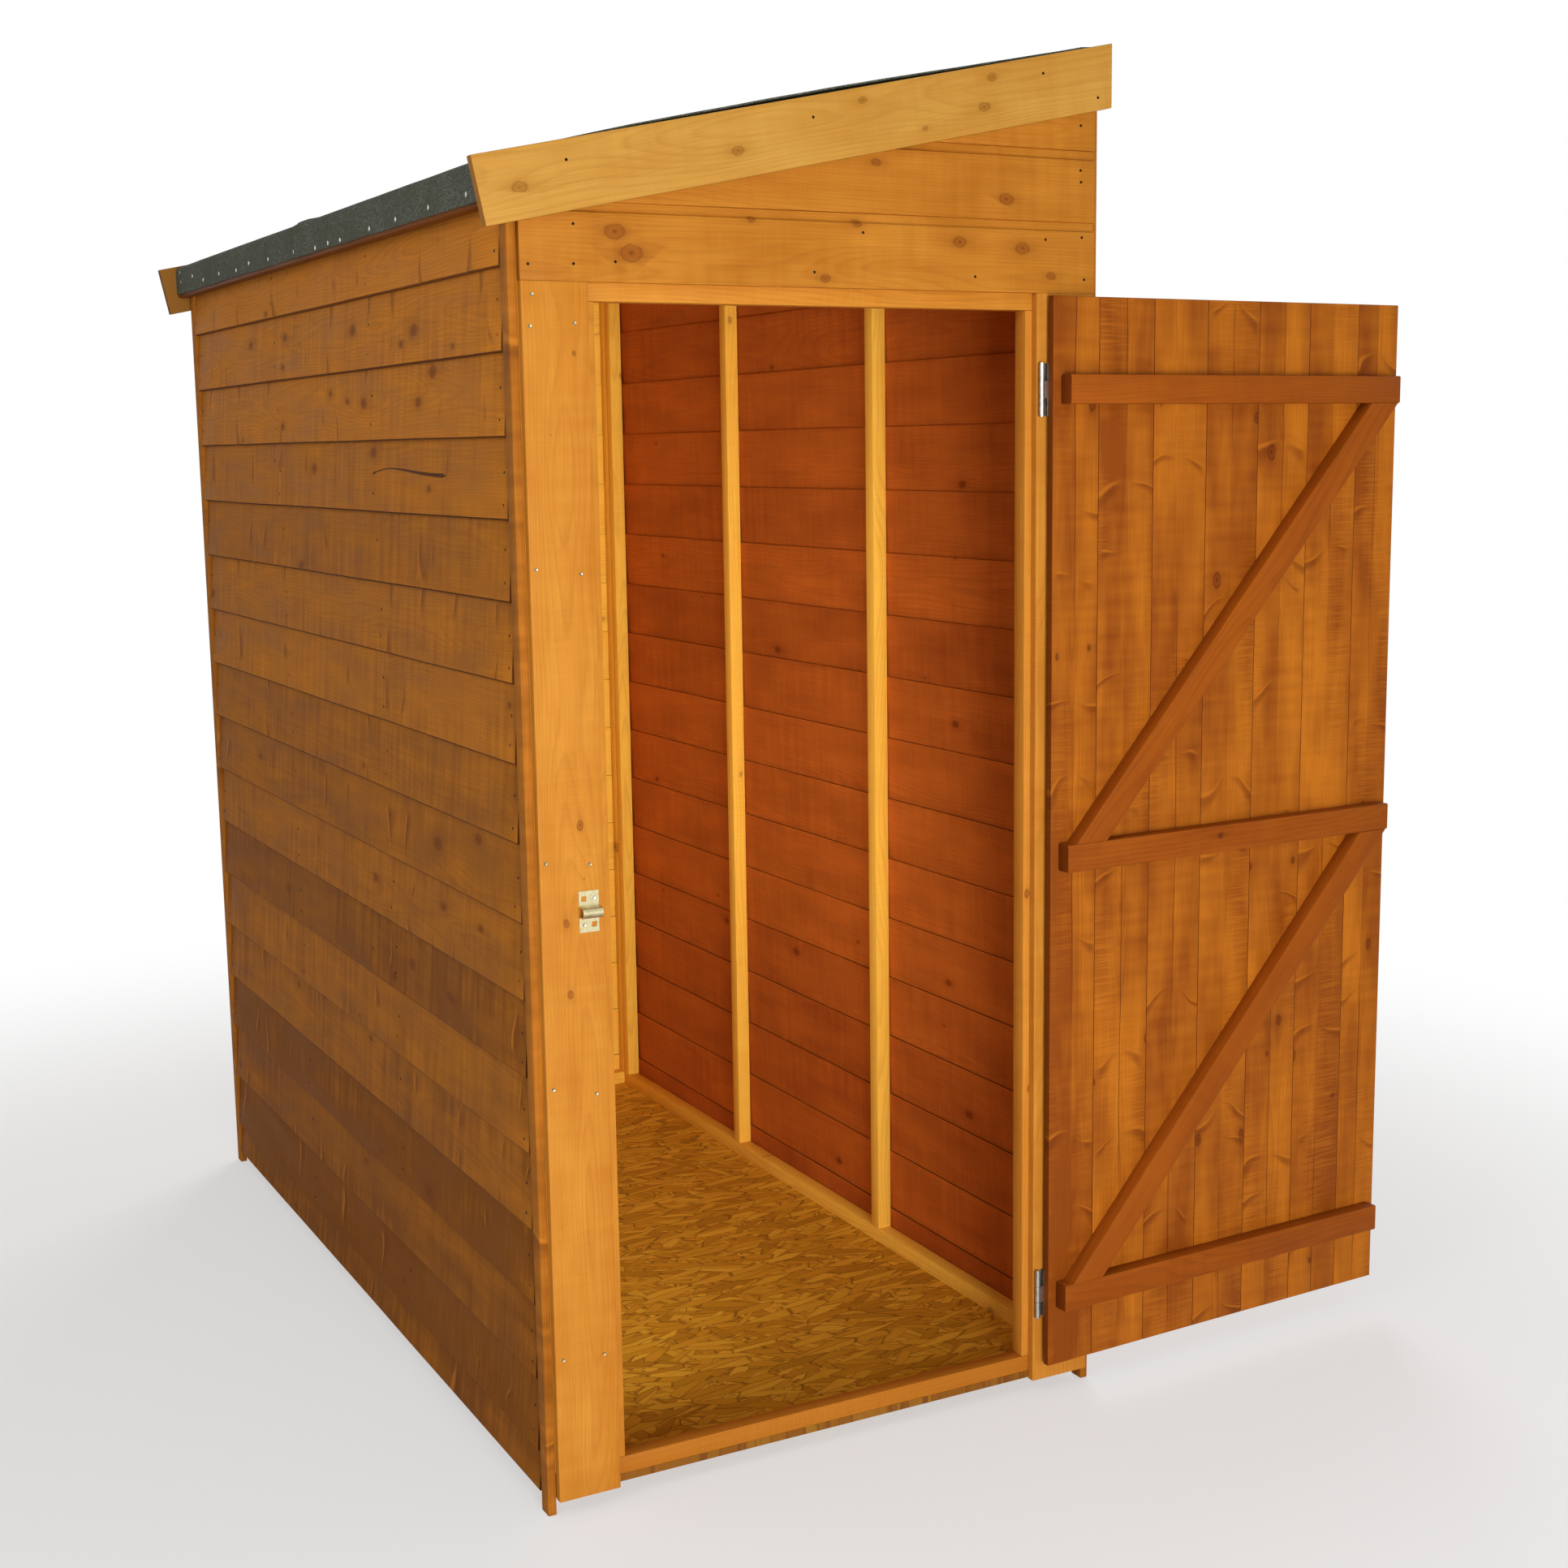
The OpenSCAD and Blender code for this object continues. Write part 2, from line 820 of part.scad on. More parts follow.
module door_bolt() {
    plate_face_y = door_outer_y - bolt_plate_thickness;
    plate_middle_x = bolt_plate_x + bolt_plate_length / 2;
    color("#b8b4a4")
        hung_door() {
            difference() {
                block(
                    [bolt_plate_x, plate_face_y, bolt_height - bolt_plate_height / 2],
                    [bolt_plate_x + bolt_plate_length, door_outer_y, bolt_height + bolt_plate_height / 2]
                );
                for (side_x = [-1, 1])
                    for (side_z = [-1, 1])
                        screw_hole(
                            plate_middle_x + side_x * bolt_plate_length * 3 / 8,
                            door_outer_y,
                            bolt_height + side_z * bolt_plate_height * 3 / 8
                        );
            }
            hoop(bolt_plate_x, bolt_plate_x + strap_width, plate_face_y);
            hoop(bolt_plate_x + bolt_plate_length - strap_width, bolt_plate_x + bolt_plate_length, plate_face_y);
            translate([rod_end_x, rod_y, bolt_height])
                rotate([0, 90, 0])
                    cylinder(r = bolt_rod_radius, h = bolt_rod_length, $fn = curve_facets);
            translate([plate_middle_x, rod_y, bolt_height])
                rotate([90, 0, 0])
                    cylinder(r = knob_radius, h = knob_length, $fn = curve_facets);
        }
}

floor_bearers();
floor_sheet();
left_wall_boards();
right_wall_boards();
back_wall_boards();
gable_boards();
left_cover_board();
right_cover_board();
front_left_strip();
front_right_strip();
back_left_strip();
back_right_strip();
left_wall_frame();
right_wall_frame();
back_wall_frame();
front_corner_posts();
door_posts();
door_head_rail();
door_sill();
front_top_rail();
roof_deck();
roof_purlin();
eave_batten();
front_felt();
back_felt();
front_barge_board();
back_barge_board();
door_boards();
door_top_ledge();
door_middle_ledge();
door_bottom_ledge();
door_upper_brace();
door_lower_brace();
hinge_door_leaves();
hinge_frame_leaves();
hinge_pins();
bolt_keeper();
door_bolt();
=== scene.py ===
import random
from functools import partial
from math import atan, cos, inf, pi, radians, sin, tan

import bpy
from mathutils import Matrix, Vector, noise


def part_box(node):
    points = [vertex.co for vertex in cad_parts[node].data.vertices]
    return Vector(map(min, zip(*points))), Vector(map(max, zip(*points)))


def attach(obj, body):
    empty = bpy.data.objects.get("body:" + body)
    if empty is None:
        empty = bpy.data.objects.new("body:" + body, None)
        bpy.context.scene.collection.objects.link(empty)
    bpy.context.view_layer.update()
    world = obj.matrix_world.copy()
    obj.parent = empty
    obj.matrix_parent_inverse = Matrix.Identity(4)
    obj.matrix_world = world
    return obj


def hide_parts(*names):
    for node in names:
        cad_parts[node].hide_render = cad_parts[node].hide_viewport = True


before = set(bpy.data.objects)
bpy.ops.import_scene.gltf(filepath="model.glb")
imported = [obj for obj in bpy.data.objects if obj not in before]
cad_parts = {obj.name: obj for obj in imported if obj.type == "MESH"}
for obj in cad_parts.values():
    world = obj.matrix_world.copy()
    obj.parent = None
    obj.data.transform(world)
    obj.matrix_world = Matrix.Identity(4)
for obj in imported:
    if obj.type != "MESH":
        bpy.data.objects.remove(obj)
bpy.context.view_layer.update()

MM = 0.001
X, Y, Z = Vector((1, 0, 0)), Vector((0, 1, 0)), Vector((0, 0, 1))
draw = random.Random(11).uniform

# Shed, in metres: faces of the frames, the deck's slope and the door's pin
FLOOR_LOW, FLOOR_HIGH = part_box("floor_sheet")
LEFT, FRONT = FLOOR_LOW.x, FLOOR_LOW.y
RIGHT, BACK = FLOOR_HIGH.x, FLOOR_HIGH.y
FLOOR_TOP = FLOOR_HIGH.z
BATTEN, BEARER = 27 * MM, 44 * MM
STRIP = 26 * MM
PITCH = radians(11.7)
SLOPE = tan(PITCH)
EAVE = Vector((-477 * MM, 0, 1899 * MM))
SHED_WIDE = 954 * MM
TALL_TOP = EAVE.z + SHED_WIDE * SLOPE
SEAT = 0.3 * MM  # between the walls and the deck
WALL_TOP = EAVE - Z * SEAT
SLOPE_UP = Vector((-sin(PITCH), 0, cos(PITCH)))
SLOPE_ALONG = Vector((cos(PITCH), 0, sin(PITCH)))
DOOR_HEAD, JAMB_TOP = 1750 * MM, 1725 * MM
JAMB_LEFT, JAMB_RIGHT = -381 * MM, 347 * MM
COVER_FACE = FRONT - 14 * MM
DOOR_INNER = FRONT - 5 * MM
DOOR_OUTER = DOOR_INNER - 12 * MM
DOOR_FREE, DOOR_HINGE = -363 * MM, 354 * MM
DOOR_FOOT, DOOR_TOP = 55 * MM, 1745 * MM
LEDGES = (1607 * MM, 890.5 * MM, 174 * MM)
HALF_LEDGE, LEDGE_THICK, BRACE_WIDE = 22 * MM, 26 * MM, 45 * MM
LEDGE_FREE, LEDGE_HINGE = DOOR_FREE + 16 * MM, DOOR_HINGE - 15 * MM
PIN = Vector((363.5 * MM, -935.3 * MM, 0))
SWING = radians(182.5)
HUNG = Matrix.Translation(PIN) @ Matrix.Rotation(SWING, 4, "Z") @ Matrix.Translation(-PIN)

# Courses of the lapped walls, (lower edge, height), and where in the log the low wall's boards, the
# gable boards, the left cover board and the barge boards are sawn from: along, across and depth
COURSE_FOOT, COURSE_RISE, BOARD_HIGH = 86, 112.3, 127.3  # of the full courses, in mm
BUTT, TIP = 13, 4  # thickness of a lapped board at its lower and upper edge, in mm
COURSES = [(24 * MM, 77 * MM)]
COURSES += [((COURSE_FOOT + COURSE_RISE * i) * MM, BOARD_HIGH * MM) for i in range(18)]
TOP_COURSE = WALL_TOP.z + 195 * MM  # no course starts above it
WALL_START = FRONT + STRIP + 1 * MM
WALL_LOG = [Vector((100 + 4 * n, draw(-120, 0) * MM, draw(20, 60) * MM))
            for n in range(len(COURSES))]
GABLE_COURSE = 105 * MM
GABLE_LOG = [Vector((40 + 5 * n, (-20, 35, -40, 10)[n] * MM, 52 * MM)) for n in range(4)]
COVER_LOG = Vector((70, -62 * MM, 34 * MM))
BARGE_REACH, BARGE_DROP = 54 * MM, 74.2 * MM
BARGE_WIDE, BARGE_THICK, BARGE_END = 91 * MM, 16 * MM, 481 * MM
BARGE_LONG = 1.12  # before its tall end is cut upright
ABOVE_ROOF = 2.2  # where a timber ends before the slope cuts it
SPARE = 50 * MM  # length that a cut takes off again
KNOT_OVAL = (0.42, 1, 0)  # a knot is longer along the grain
BARGE_LOG = Vector((80 - BARGE_REACH, 20 * MM - BARGE_DROP, 62 * MM))


def wall_knot(y, z, size):
    """A knot of the low wall, at a place and of a size in mm, as a place in its board's log."""
    number = 1 + int((z - COURSE_FOOT) // COURSE_RISE)
    log = WALL_LOG[number]
    return (log.x + y * MM - WALL_START, log.y + z * MM - COURSES[number][0], size * MM)


def gable_knot(x, z, size):
    """A knot of the gable, likewise."""
    number = int((z * MM - DOOR_HEAD) // GABLE_COURSE)
    log = GABLE_LOG[number]
    return (log.x + RIGHT - x * MM, log.y + z * MM - DOOR_HEAD - number * GABLE_COURSE, size * MM)


def barge_knot(along, up, size):
    """A knot of the barge boards, by its place along the slope and above the deck's underside."""
    return (80 + along * MM, (20 + up) * MM, size * MM)


def cover_knot(x, z, size):
    """A knot of the left cover board."""
    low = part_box("left_cover_board")[0]
    return (COVER_LOG.x + z * MM - low.z, COVER_LOG.y + x * MM - low.x, size * MM)


# Colour and nodes

def srgb(code):
    """A hex colour as linear RGBA."""
    parts = [int(code[i:i + 2], 16) / 255 for i in (1, 3, 5)]
    return [c / 12.92 if c <= 0.04045 else ((c + 0.055) / 1.055) ** 2.4 for c in parts] + [1.0]


def feed(made, *values, **named):
    """Gives a node's sockets, in order or by name, values, hex colours or links. None leaves it as it is."""
    for key, value in (*enumerate(values), *named.items()):
        socket = made.inputs[key if isinstance(key, int) else key.replace("_", " ")]
        if isinstance(value, bpy.types.NodeSocket):
            made.id_data.links.new(value, socket)
        elif value is not None:
            socket.default_value = srgb(value) if isinstance(value, str) else value


def add(tree, kind, *values, out=0, **named):
    """Adds a node, named with its operation if it has one, and gives back one output. Names in lower case
    are settings and the others are sockets, which are fed in order or by name."""
    kind, _, operation = kind.partition(" ")
    made = tree.nodes.new("ShaderNode" + kind)
    if operation:
        made.operation = operation
    for key, value in named.items():
        if key.islower():
            setattr(made, key, value)
    feed(made, *values, **{key: value for key, value in named.items() if not key.islower()})
    return made if out is None else made.outputs[out]


def stops(ramp, *places):
    """Sets a colour ramp's stops, each a place and a colour; the first two are those that it has."""
    elements = ramp.node.color_ramp.elements
    for number, (place, colour) in enumerate(places):
        stop = elements[number] if number < 2 else elements.new(place)
        stop.position, stop.color = place, colour


def finish_named(name, **sockets):
    """A new material, what adds a node to it, and its shader with plain values on its own sockets."""
    mat = bpy.data.materials.new(name)
    mat.use_nodes = True
    shader = mat.node_tree.nodes["Principled BSDF"]
    feed(shader, **sockets)
    return mat, partial(add, mat.node_tree), shader


# Stained softwood: flat-sawn spruce under a translucent brown stain. The eye gets growth rings that
# part round the knots, darker knots with an orange halo, limbs sawn lengthwise that lean from the pith
# line to the board's edge, cross marks of the saw and uneven stain.
def softwood(name, pale, stain, late, knot, ring=3.4, contrast=0.2, knotty=0.3, knot_size=6, saw=0.12,
             skips=0.15, patch=0.7, limbs=0.0, lean=0.5, heart=0.0, rough=0.62, bold=1.0, pocket=None):
    mat, node, shader = finish_named(name, IOR=1.48, Specular_IOR_Level=0.09)
    times, minus, sloped, ranged, blend, scaled = (partial(node, kind) for kind in (
        "Math MULTIPLY", "Math SUBTRACT", "Math MULTIPLY_ADD", "MapRange", "MixRGB", "VectorMath MULTIPLY"))
    grain = node("Attribute", out="Vector", attribute_name="grain")
    tone = node("Attribute", out="Fac", attribute_name="tone")
    along, across, deep = node("SeparateXYZ", grain, out=None).outputs

    # Chance knots, at most one in each 300 by 95 mm, and where nearer the two knots that a face names
    cell = (300 * MM, 95 * MM, 1)
    spot = node("VectorMath DIVIDE", grain, cell)
    found = node("TexVoronoi", spot, Scale=1.0, Randomness=0.85, out=None, voronoi_dimensions="2D")
    centre = scaled(found.outputs["Position"], cell)
    away = node("VectorMath SUBTRACT", grain, centre)
    luck = node("SeparateColor", found.outputs["Color"])
    radius = ranged(luck, 1 - knotty, 1.0, 0.0, knot_size * MM)
    oval = scaled(away, KNOT_OVAL)
    reach = node("VectorMath LENGTH", oval, out="Value")
    for named in ("knot_near", "knot_next"):
        known = node("Attribute", out="Vector", attribute_name=named)
        here = node("VectorMath SUBTRACT", grain, known)
        oval = scaled(here, KNOT_OVAL)
        gone = node("VectorMath LENGTH", oval, out="Value")
        nearer = node("Math LESS_THAN", gone, reach)
        away = node("Mix", nearer, None, None, None, away, here, out=1, data_type="VECTOR")
        radius = node("Mix", nearer, None, radius, node("SeparateXYZ", known, out=2))
        reach = node("Math MINIMUM", gone, reach)

    # How far the rings give way round a knot, the knot's disc, its rim and its halo
    aside = node("SeparateXYZ", away, out=1)
    share = node("Math DIVIDE", radius, node("Math ADD", reach, 2.5 * MM))
    push = node("Math MINIMUM", times(share, share), 1.6)
    fade = ranged(reach, 10 * MM, 45 * MM, 1.0, 0.0, interpolation_type="SMOOTHSTEP")
    give = times(times(push, aside), fade)
    round_off = scaled(away, (0.7, 1, 0))
    span = node("VectorMath LENGTH", round_off, out="Value")
    ragged = node("TexNoise", grain, Scale=130.0, Detail=1.0)
    span = sloped(ragged, 4 * MM, span)
    inside = minus(radius, minus(span, 2 * MM))
    disc = ranged(inside, -0.8 * MM, 1.2 * MM)
    rim = ranged(node("Math ABSOLUTE", inside), 0.0, 1.8 * MM, 1.0, 0.0)
    rim = times(rim, node("Math GREATER_THAN", radius, 1.2 * MM))
    halo = ranged(share, 0.25, 1.1)

    # Growth rings about the pith, which wander along the board
    slow = scaled(grain, (1.4, 7, 7))
    wander = node("TexNoise", slow, Scale=1.0, Detail=2.0, Roughness=0.45, out="Color")
    drift = node("VectorMath SUBTRACT", wander, (0.5, 0.5, 0.5))
    drift = scaled(drift, (0, 46 * MM, 60 * MM))
    drift = node("SeparateXYZ", drift, out=None)
    rise = minus(across, give)
    rise = node("Math ADD", rise, drift.outputs[1])
    sunk = node("Math ADD", deep, drift.outputs[2])
    turn = node("VectorMath LENGTH", node("CombineXYZ", X=rise, Y=sunk), out="Value")
    phase = node("Math FRACT", node("Math DIVIDE", turn, ring * MM))
    rings = node("ValToRGB", phase)
    stops(rings, *((place, (level, level, level, 1)) for place, level in (
        (0.0, 0.08), (0.86, 1), (0.5, 0.22), (1.0, 0.1))))

    # Noise drawn out along the grain: fibres, blotches of stain, the saw's fine cross marks, the fields that
    # they come in, and the broad skips of the planer
    fibre, blotch, kerf, sawn, stride = (
        node("TexNoise", scaled(grain, stretch), Scale=scale, Detail=detail,
             Roughness=harsh)
        for stretch, scale, detail, harsh in (
            ((9, 420, 420), 1.0, 2.0, 0.5), ((4.5, 17, 17), 1.0, 2.0, 0.6), ((330, 14, 14), 1.0, 1.0, 0.5),
            ((2.1, 9, 9), 1.3, 1.0, 0.5), ((55, 5, 5), 1.0, 1.0, 0.5)))
    marks = ranged(sawn, 0.48, 0.66, 0.0, saw)
    marks = times(ranged(kerf, 0.42, 0.66), marks)
    strength = ranged(sawn, 0.62, 0.38, skips * 0.35, skips * 1.6)
    stride = times(minus(stride, 0.5), strength)

    # Stain: soaks in unevenly, differs between boards, and in heart boards between the halves
    soak = ranged(blotch, 0.24, 0.76, 0.5 - patch / 2, 0.5 + patch / 2)
    soak = sloped(stride, 2.2, soak)
    side = node("Math SIGN", across)
    if heart:
        half = node("CombineXYZ", X=times(along, 1.6), Y=times(side, 3.3))
        half = node("TexNoise", half, Scale=1.0, Detail=1.0)
        half = ranged(half, 0.3, 0.7, -heart, heart)
        soak = node("Math ADD", soak, half)
    # The tone takes off stain: the boards' own differences, and painted shade on edges and shaded pieces
    soak = minus(soak, tone, use_clamp=True)
    wood = blend(soak, stain, pale)
    lines = times(rings, contrast)
    wood = blend(lines, wood, late)
    streak = ranged(fibre, 0.35, 0.7, 0.0, 0.2)
    wood = blend(streak, wood, late)
    wood = blend(marks, wood, pale)
    glow = times(halo, 0.6)
    wood = blend(glow, wood, late)

    # Limbs sawn lengthwise: a dark taper that leans out from the pith line, with a pale sliver beside it
    if limbs:
        every = 170 * MM
        off = node("Math ABSOLUTE", across)
        place = sloped(off, lean, along)
        wavy = node("TexNoise", grain, Scale=11.0, Detail=1.0)
        place = sloped(wavy, 70 * MM, place)
        place = node("Math DIVIDE", place, every)
        limb = node("TexVoronoi", W=place, Scale=1.0, Randomness=0.9, out=None, voronoi_dimensions="1D")
        mate = sloped(side, 17.3, limb.outputs["W"])
        dice = node("TexWhiteNoise", W=mate, out="Color", noise_dimensions="1D")
        dice = node("SeparateColor", dice, out=None)
        grown = node("Math GREATER_THAN", dice.outputs[0], 1 - limbs)
        thick = sloped(off, 0.07, 1.6 * MM)
        thick = times(thick, node("Math ADD", dice.outputs[1], 0.5))
        end = sloped(dice.outputs[2], 60 * MM, 22 * MM)
        kept = ranged(off, end, node("Math ADD", end, 12 * MM), 1.0, 0.0)
        kept = times(kept, grown)
        kept = times(kept, ranged(off, 4 * MM, 34 * MM))
        miss = minus(place, limb.outputs["W"])
        miss = times(miss, every)
        near = node("Math DIVIDE", node("Math ABSOLUTE", miss), thick)
        shade = ranged(near, 3.4, 0.6, interpolation_type="SMOOTHSTEP")
        core = ranged(near, 1.2, 0.3)
        beside = node("Math DIVIDE", miss, thick)
        beside = node("Math ABSOLUTE", minus(beside, 1.7))
        sliver = ranged(beside, 0.8, 0.3)
        for part, most, colour in ((shade, 0.45, late), (core, 0.14, knot), (sliver, 0.5, pale)):
            part = times(part, times(kept, most))
            wood = blend(part, wood, colour)

    year = node("Math FRACT", node("Math DIVIDE", span, 2.6 * MM))
    core = times(disc, ranged(year, 0.0, 1.0, 0.25, 0.6))
    wood = blend(core, wood, late)
    eye = node("Math DIVIDE", minus(span, 1.6 * MM), radius)
    eye = ranged(eye, 0.42, 0.16, 0.0, 0.7)
    eye = times(eye, disc)
    dark = node("Math MAXIMUM", times(rim, 0.55), eye)
    dark = times(dark, bold)
    wood = blend(dark, wood, knot)

    # The crack along the heart, and a pitch pocket: a resin slit that tapers along the grain
    if heart:
        stray = node("TexNoise", W=along, Scale=3.0, Detail=2.0, noise_dimensions="1D")
        stray = sloped(stray, 9 * MM, across)
        stray = node("Math ABSOLUTE", minus(stray, 4.5 * MM))
        slit = ranged(stray, 1.1 * MM, 0.4 * MM)
        open_at = node("TexNoise", W=along, Scale=1.7, Detail=1.0, noise_dimensions="1D")
        open_at = ranged(open_at, 0.48, 0.6, 0.1, 0.7)
        wood = blend(times(slit, open_at), wood, knot)
    if pocket:
        start, rest, run = pocket
        far = ranged(along, start, start + run)
        arch = times(times(far, far), pi)
        arch = sloped(node("Math SINE", arch), 10 * MM, rest)
        miss = node("Math ABSOLUTE", minus(across, arch))
        wide = ranged(far, 0.05, 0.75, 3.4 * MM, 1.3 * MM)
        ends = times(ranged(far, 0.0, 0.04), ranged(far, 1.0, 0.97))
        wide = times(wide, ends)
        resin = minus(wide, miss)
        resin = ranged(resin, -0.3 * MM, 0.8 * MM, 0.0, 0.9)
        resin = times(resin, node("Math GREATER_THAN", wide, 0.2 * MM))
        wood = blend(resin, wood, knot)

    # Sawn ends drink more stain; the tone also carries painted shade on the boards' under and upper edges and
    # on pieces darkened for the shade they stand in
    stain_and_shade = ranged(tone, 0.75, 1.6, 0.0, 0.85)
    wood = blend(stain_and_shade, wood, knot)

    gloss = ranged(blotch, 0.3, 0.7, rough - 0.07, rough + 0.09)
    height = sloped(marks, 3.0, fibre)
    bump = node("Bump", Height=height, Strength=0.35, Distance=0.35 * MM)
    feed(shader, Base_Color=wood, Roughness=gloss, Normal=bump)
    return mat


# Strand board: pressed softwood strands, about 70 by 13 mm, laid mostly one way under resin. They
# are drawn at 84 by 17 mm so that they show. The eye gets pale and brown strands that overlap, with dark
# slits between them, and darker edges.
def strand_board():
    mat, node, shader = finish_named("strand_board", IOR=1.5, Specular_IOR_Level=0.15)
    place = node("TexCoord", out="Object")
    colour = height = None
    for turn, lift in ((12, 0.0), (70, 0.31), (-36, 0.57), (26, 0.83), (-8, 0.44)):
        laid = node("Mapping", place, Location=(lift, 1.7 * lift, 0), Rotation=(0, 0, radians(turn)))
        bowed = node("TexNoise", laid, Scale=9.0, Detail=1.0, out="Color")
        bowed = node("VectorMath MULTIPLY", bowed, (0.02, 0.012, 0))
        bowed = node("VectorMath ADD", laid, bowed)
        size = node("VectorMath MULTIPLY", bowed, (1 / (84 * MM), 1 / (17 * MM), 0))
        strand = node("TexVoronoi", size, Scale=1.0, Randomness=0.95, out=None, voronoi_dimensions="2D")
        luck = node("SeparateColor", strand.outputs["Color"], out=None)
        edge = node("TexVoronoi", size, Scale=1.0, Randomness=0.95, voronoi_dimensions="2D",
                    feature="DISTANCE_TO_EDGE")
        body = node("MapRange", edge, 0.0, 0.08)
        hue = node("ValToRGB", luck.outputs[1])
        stops(hue, (0, srgb("#b9811c")), (1, srgb("#efb838")), (0.4, srgb("#d69a24")))
        fibre = node("VectorMath MULTIPLY", bowed, (28, 620, 0))
        fibre = node("TexNoise", fibre, Scale=1.0, Detail=2.0)
        hue = node("MixRGB", node("MapRange", fibre, 0.3, 0.75, 0.0, 0.4), hue, "#9a6618")
        slit = node("MixRGB", body, "#8a5a18", hue)
        step = node("Math MULTIPLY", body, luck.outputs[2])
        if colour is None:
            colour, height = slit, step
            continue
        shown = node("Math GREATER_THAN", luck.outputs[0], 0.6)
        colour = node("MixRGB", shown, colour, slit)
        height = node("Mix", shown, None, height, step)
    facing = node("SeparateXYZ", node("TexCoord", out="Normal"), out=2)
    sawn = node("Math LESS_THAN", node("Math ABSOLUTE", facing), 0.5)
    colour = node("MixRGB", node("Math MULTIPLY", sawn, 0.75), colour, "#6b3411")
    shine = node("MapRange", height, 0.0, 1.0, 0.66, 0.48)
    bump = node("Bump", Height=height, Strength=0.5, Distance=0.6 * MM)
    feed(shader, Base_Color=colour, Roughness=shine, Normal=bump)
    return mat


# Mineral felt: bitumen sheet dressed with green-grey slate grit, dull and speckled. The grit is about
# 0.8 mm; it is drawn at 1.6 mm so that it shows.
def mineral_felt():
    mat, node, shader = finish_named("mineral_felt", IOR=1.5, Specular_IOR_Level=0.2)
    place = node("TexCoord", out="Object")
    grit = node("TexVoronoi", place, Scale=1 / (1.6 * MM), out=None)
    luck = node("SeparateColor", grit.outputs["Color"])
    cloud = node("TexNoise", place, Scale=9.0, Detail=4.0, Roughness=0.62)
    speck = node("ValToRGB", luck)
    stops(speck, (0, srgb("#3b3f37")), (1, srgb("#828578")), (0.55, srgb("#575b50")))
    worn = node("MapRange", cloud, 0.35, 0.7, 0.0, 0.6)
    colour = node("MixRGB", worn, speck, "#46422f")
    dull = node("MapRange", cloud, 0.0, 1.0, 0.82, 0.96)
    bump = node("Bump", Height=grit.outputs["Distance"], Strength=0.6, Distance=0.7 * MM, invert=True)
    feed(shader, Base_Color=colour, Roughness=dull, Normal=bump)
    return mat


# Zinc-plated steel: pressed strip with a thin bright plating. The eye gets a soft metal sheen that is
# mottled and slightly warm where the plating has dulled.
def plated_steel(name, bright, dulled, rough):
    mat, node, shader = finish_named(name, Metallic=1.0)
    place = node("TexCoord", out="Object")
    bloom = node("TexNoise", place, Scale=120.0, Detail=4.0, Roughness=0.65)
    share = node("MapRange", bloom, 0.38, 0.66)
    colour = node("MixRGB", share, bright, dulled)
    gloss = node("MapRange", bloom, 0.3, 0.7, rough - 0.08, rough + 0.1)
    scuff = node("TexNoise", place, Scale=700.0, Detail=2.0)
    bump = node("Bump", Height=scuff, Strength=0.15, Distance=0.1 * MM)
    feed(shader, Base_Color=colour, Roughness=gloss, Normal=bump)
    return mat


WALL_KNOTS = [wall_knot(*k) for k in (
    (-509, 1707, 9), (-578, 1644, 9), (-515, 1601, 7), (-149, 1612, 5), (-241, 1606, 8), (217, 1732, 6),
    (227, 1682, 6), (248, 1576, 6), (-197, 1724, 8), (-274, 1529, 8), (-687, 1675, 4), (324, 1780, 5),
    (-524, 930, 10), (-191, 820, 7), (-536, 833, 7), (-557, 691, 10), (-371, 708, 8), (-280, 668, 7),
    (178, 531, 6), (-704, 830, 6), (-702, 965, 8), (380, 700, 7), (-417, 335, 11), (-111, 520, 5))]
GABLE_KNOTS = [gable_knot(*k) for k in (
    (-326, 1817, 10), (-302, 1789, 11), (-119, 1840, 4), (50, 1841, 5), (223, 1820, 7), (334, 1814, 8),
    (-2, 1763, 5), (385, 1775, 5), (83, 1926, 5), (305, 1884, 8))]
BARGE_KNOTS = [barge_knot(*k) for k in (
    (3, -34, 7), (329, -38, 6), (539, -1, 4), (739, -40, 6), (760, -1, 5), (633, -54, 2.5))]
COVER_KNOTS = [cover_knot(*k) for k in ((-402, 1013, 4), (-427, 877, 3.5), (-424, 775, 3.5))]
POCKET = wall_knot(-629, 1493, 366)
WALL_WOOD = softwood("sawn_spruce_brown_stain", "#d58428", "#844c10", "#763e12", "#3c1b06", knotty=0.2,
                     knot_size=8, saw=0.16, skips=0.24, patch=0.5, limbs=0.45, lean=0.05, rough=0.66,
                     bold=0.42, pocket=POCKET)
INNER_WOOD = softwood("sawn_spruce_red_inside", "#cb6922", "#984616", "#742d0c", "#3e1505", knotty=0.25,
                      knot_size=7, saw=0.3, skips=0.2, rough=0.66, bold=0.7)
FRONT_WOOD = softwood("planed_spruce_honey_stain", "#d9963a", "#bd7420", "#9c5615", "#5b2b0a",
                      contrast=0.22, knotty=0.12, knot_size=7, rough=0.52)
GABLE_WOOD = softwood("shiplap_spruce_honey_stain", "#c7832b", "#ac681a", "#8a4811", "#542808",
                      knotty=0.1, skips=0.22, patch=0.9, rough=0.54, bold=0.72)
DOOR_WOOD = softwood("sawn_spruce_red_stain", "#c6741b", "#8d460d", "#702f07", "#431905", contrast=0.24,
                     knotty=0.6, knot_size=8, saw=0.36, skips=0.2, patch=0.95, limbs=0.62, heart=0.3,
                     rough=0.58)
LEDGE_WOOD = softwood("ledge_spruce_red_stain", "#ac5a11", "#8a420b", "#642a06", "#3c1504", contrast=0.24,
                      skips=0.12, patch=0.6, rough=0.54)
BARGE_WOOD = softwood("planed_pine_pale_stain", "#cc9b48", "#b77d2d", "#96601b", "#64370b", contrast=0.22,
                      knotty=0.05, knot_size=5, saw=0.1, rough=0.5, bold=0.7)
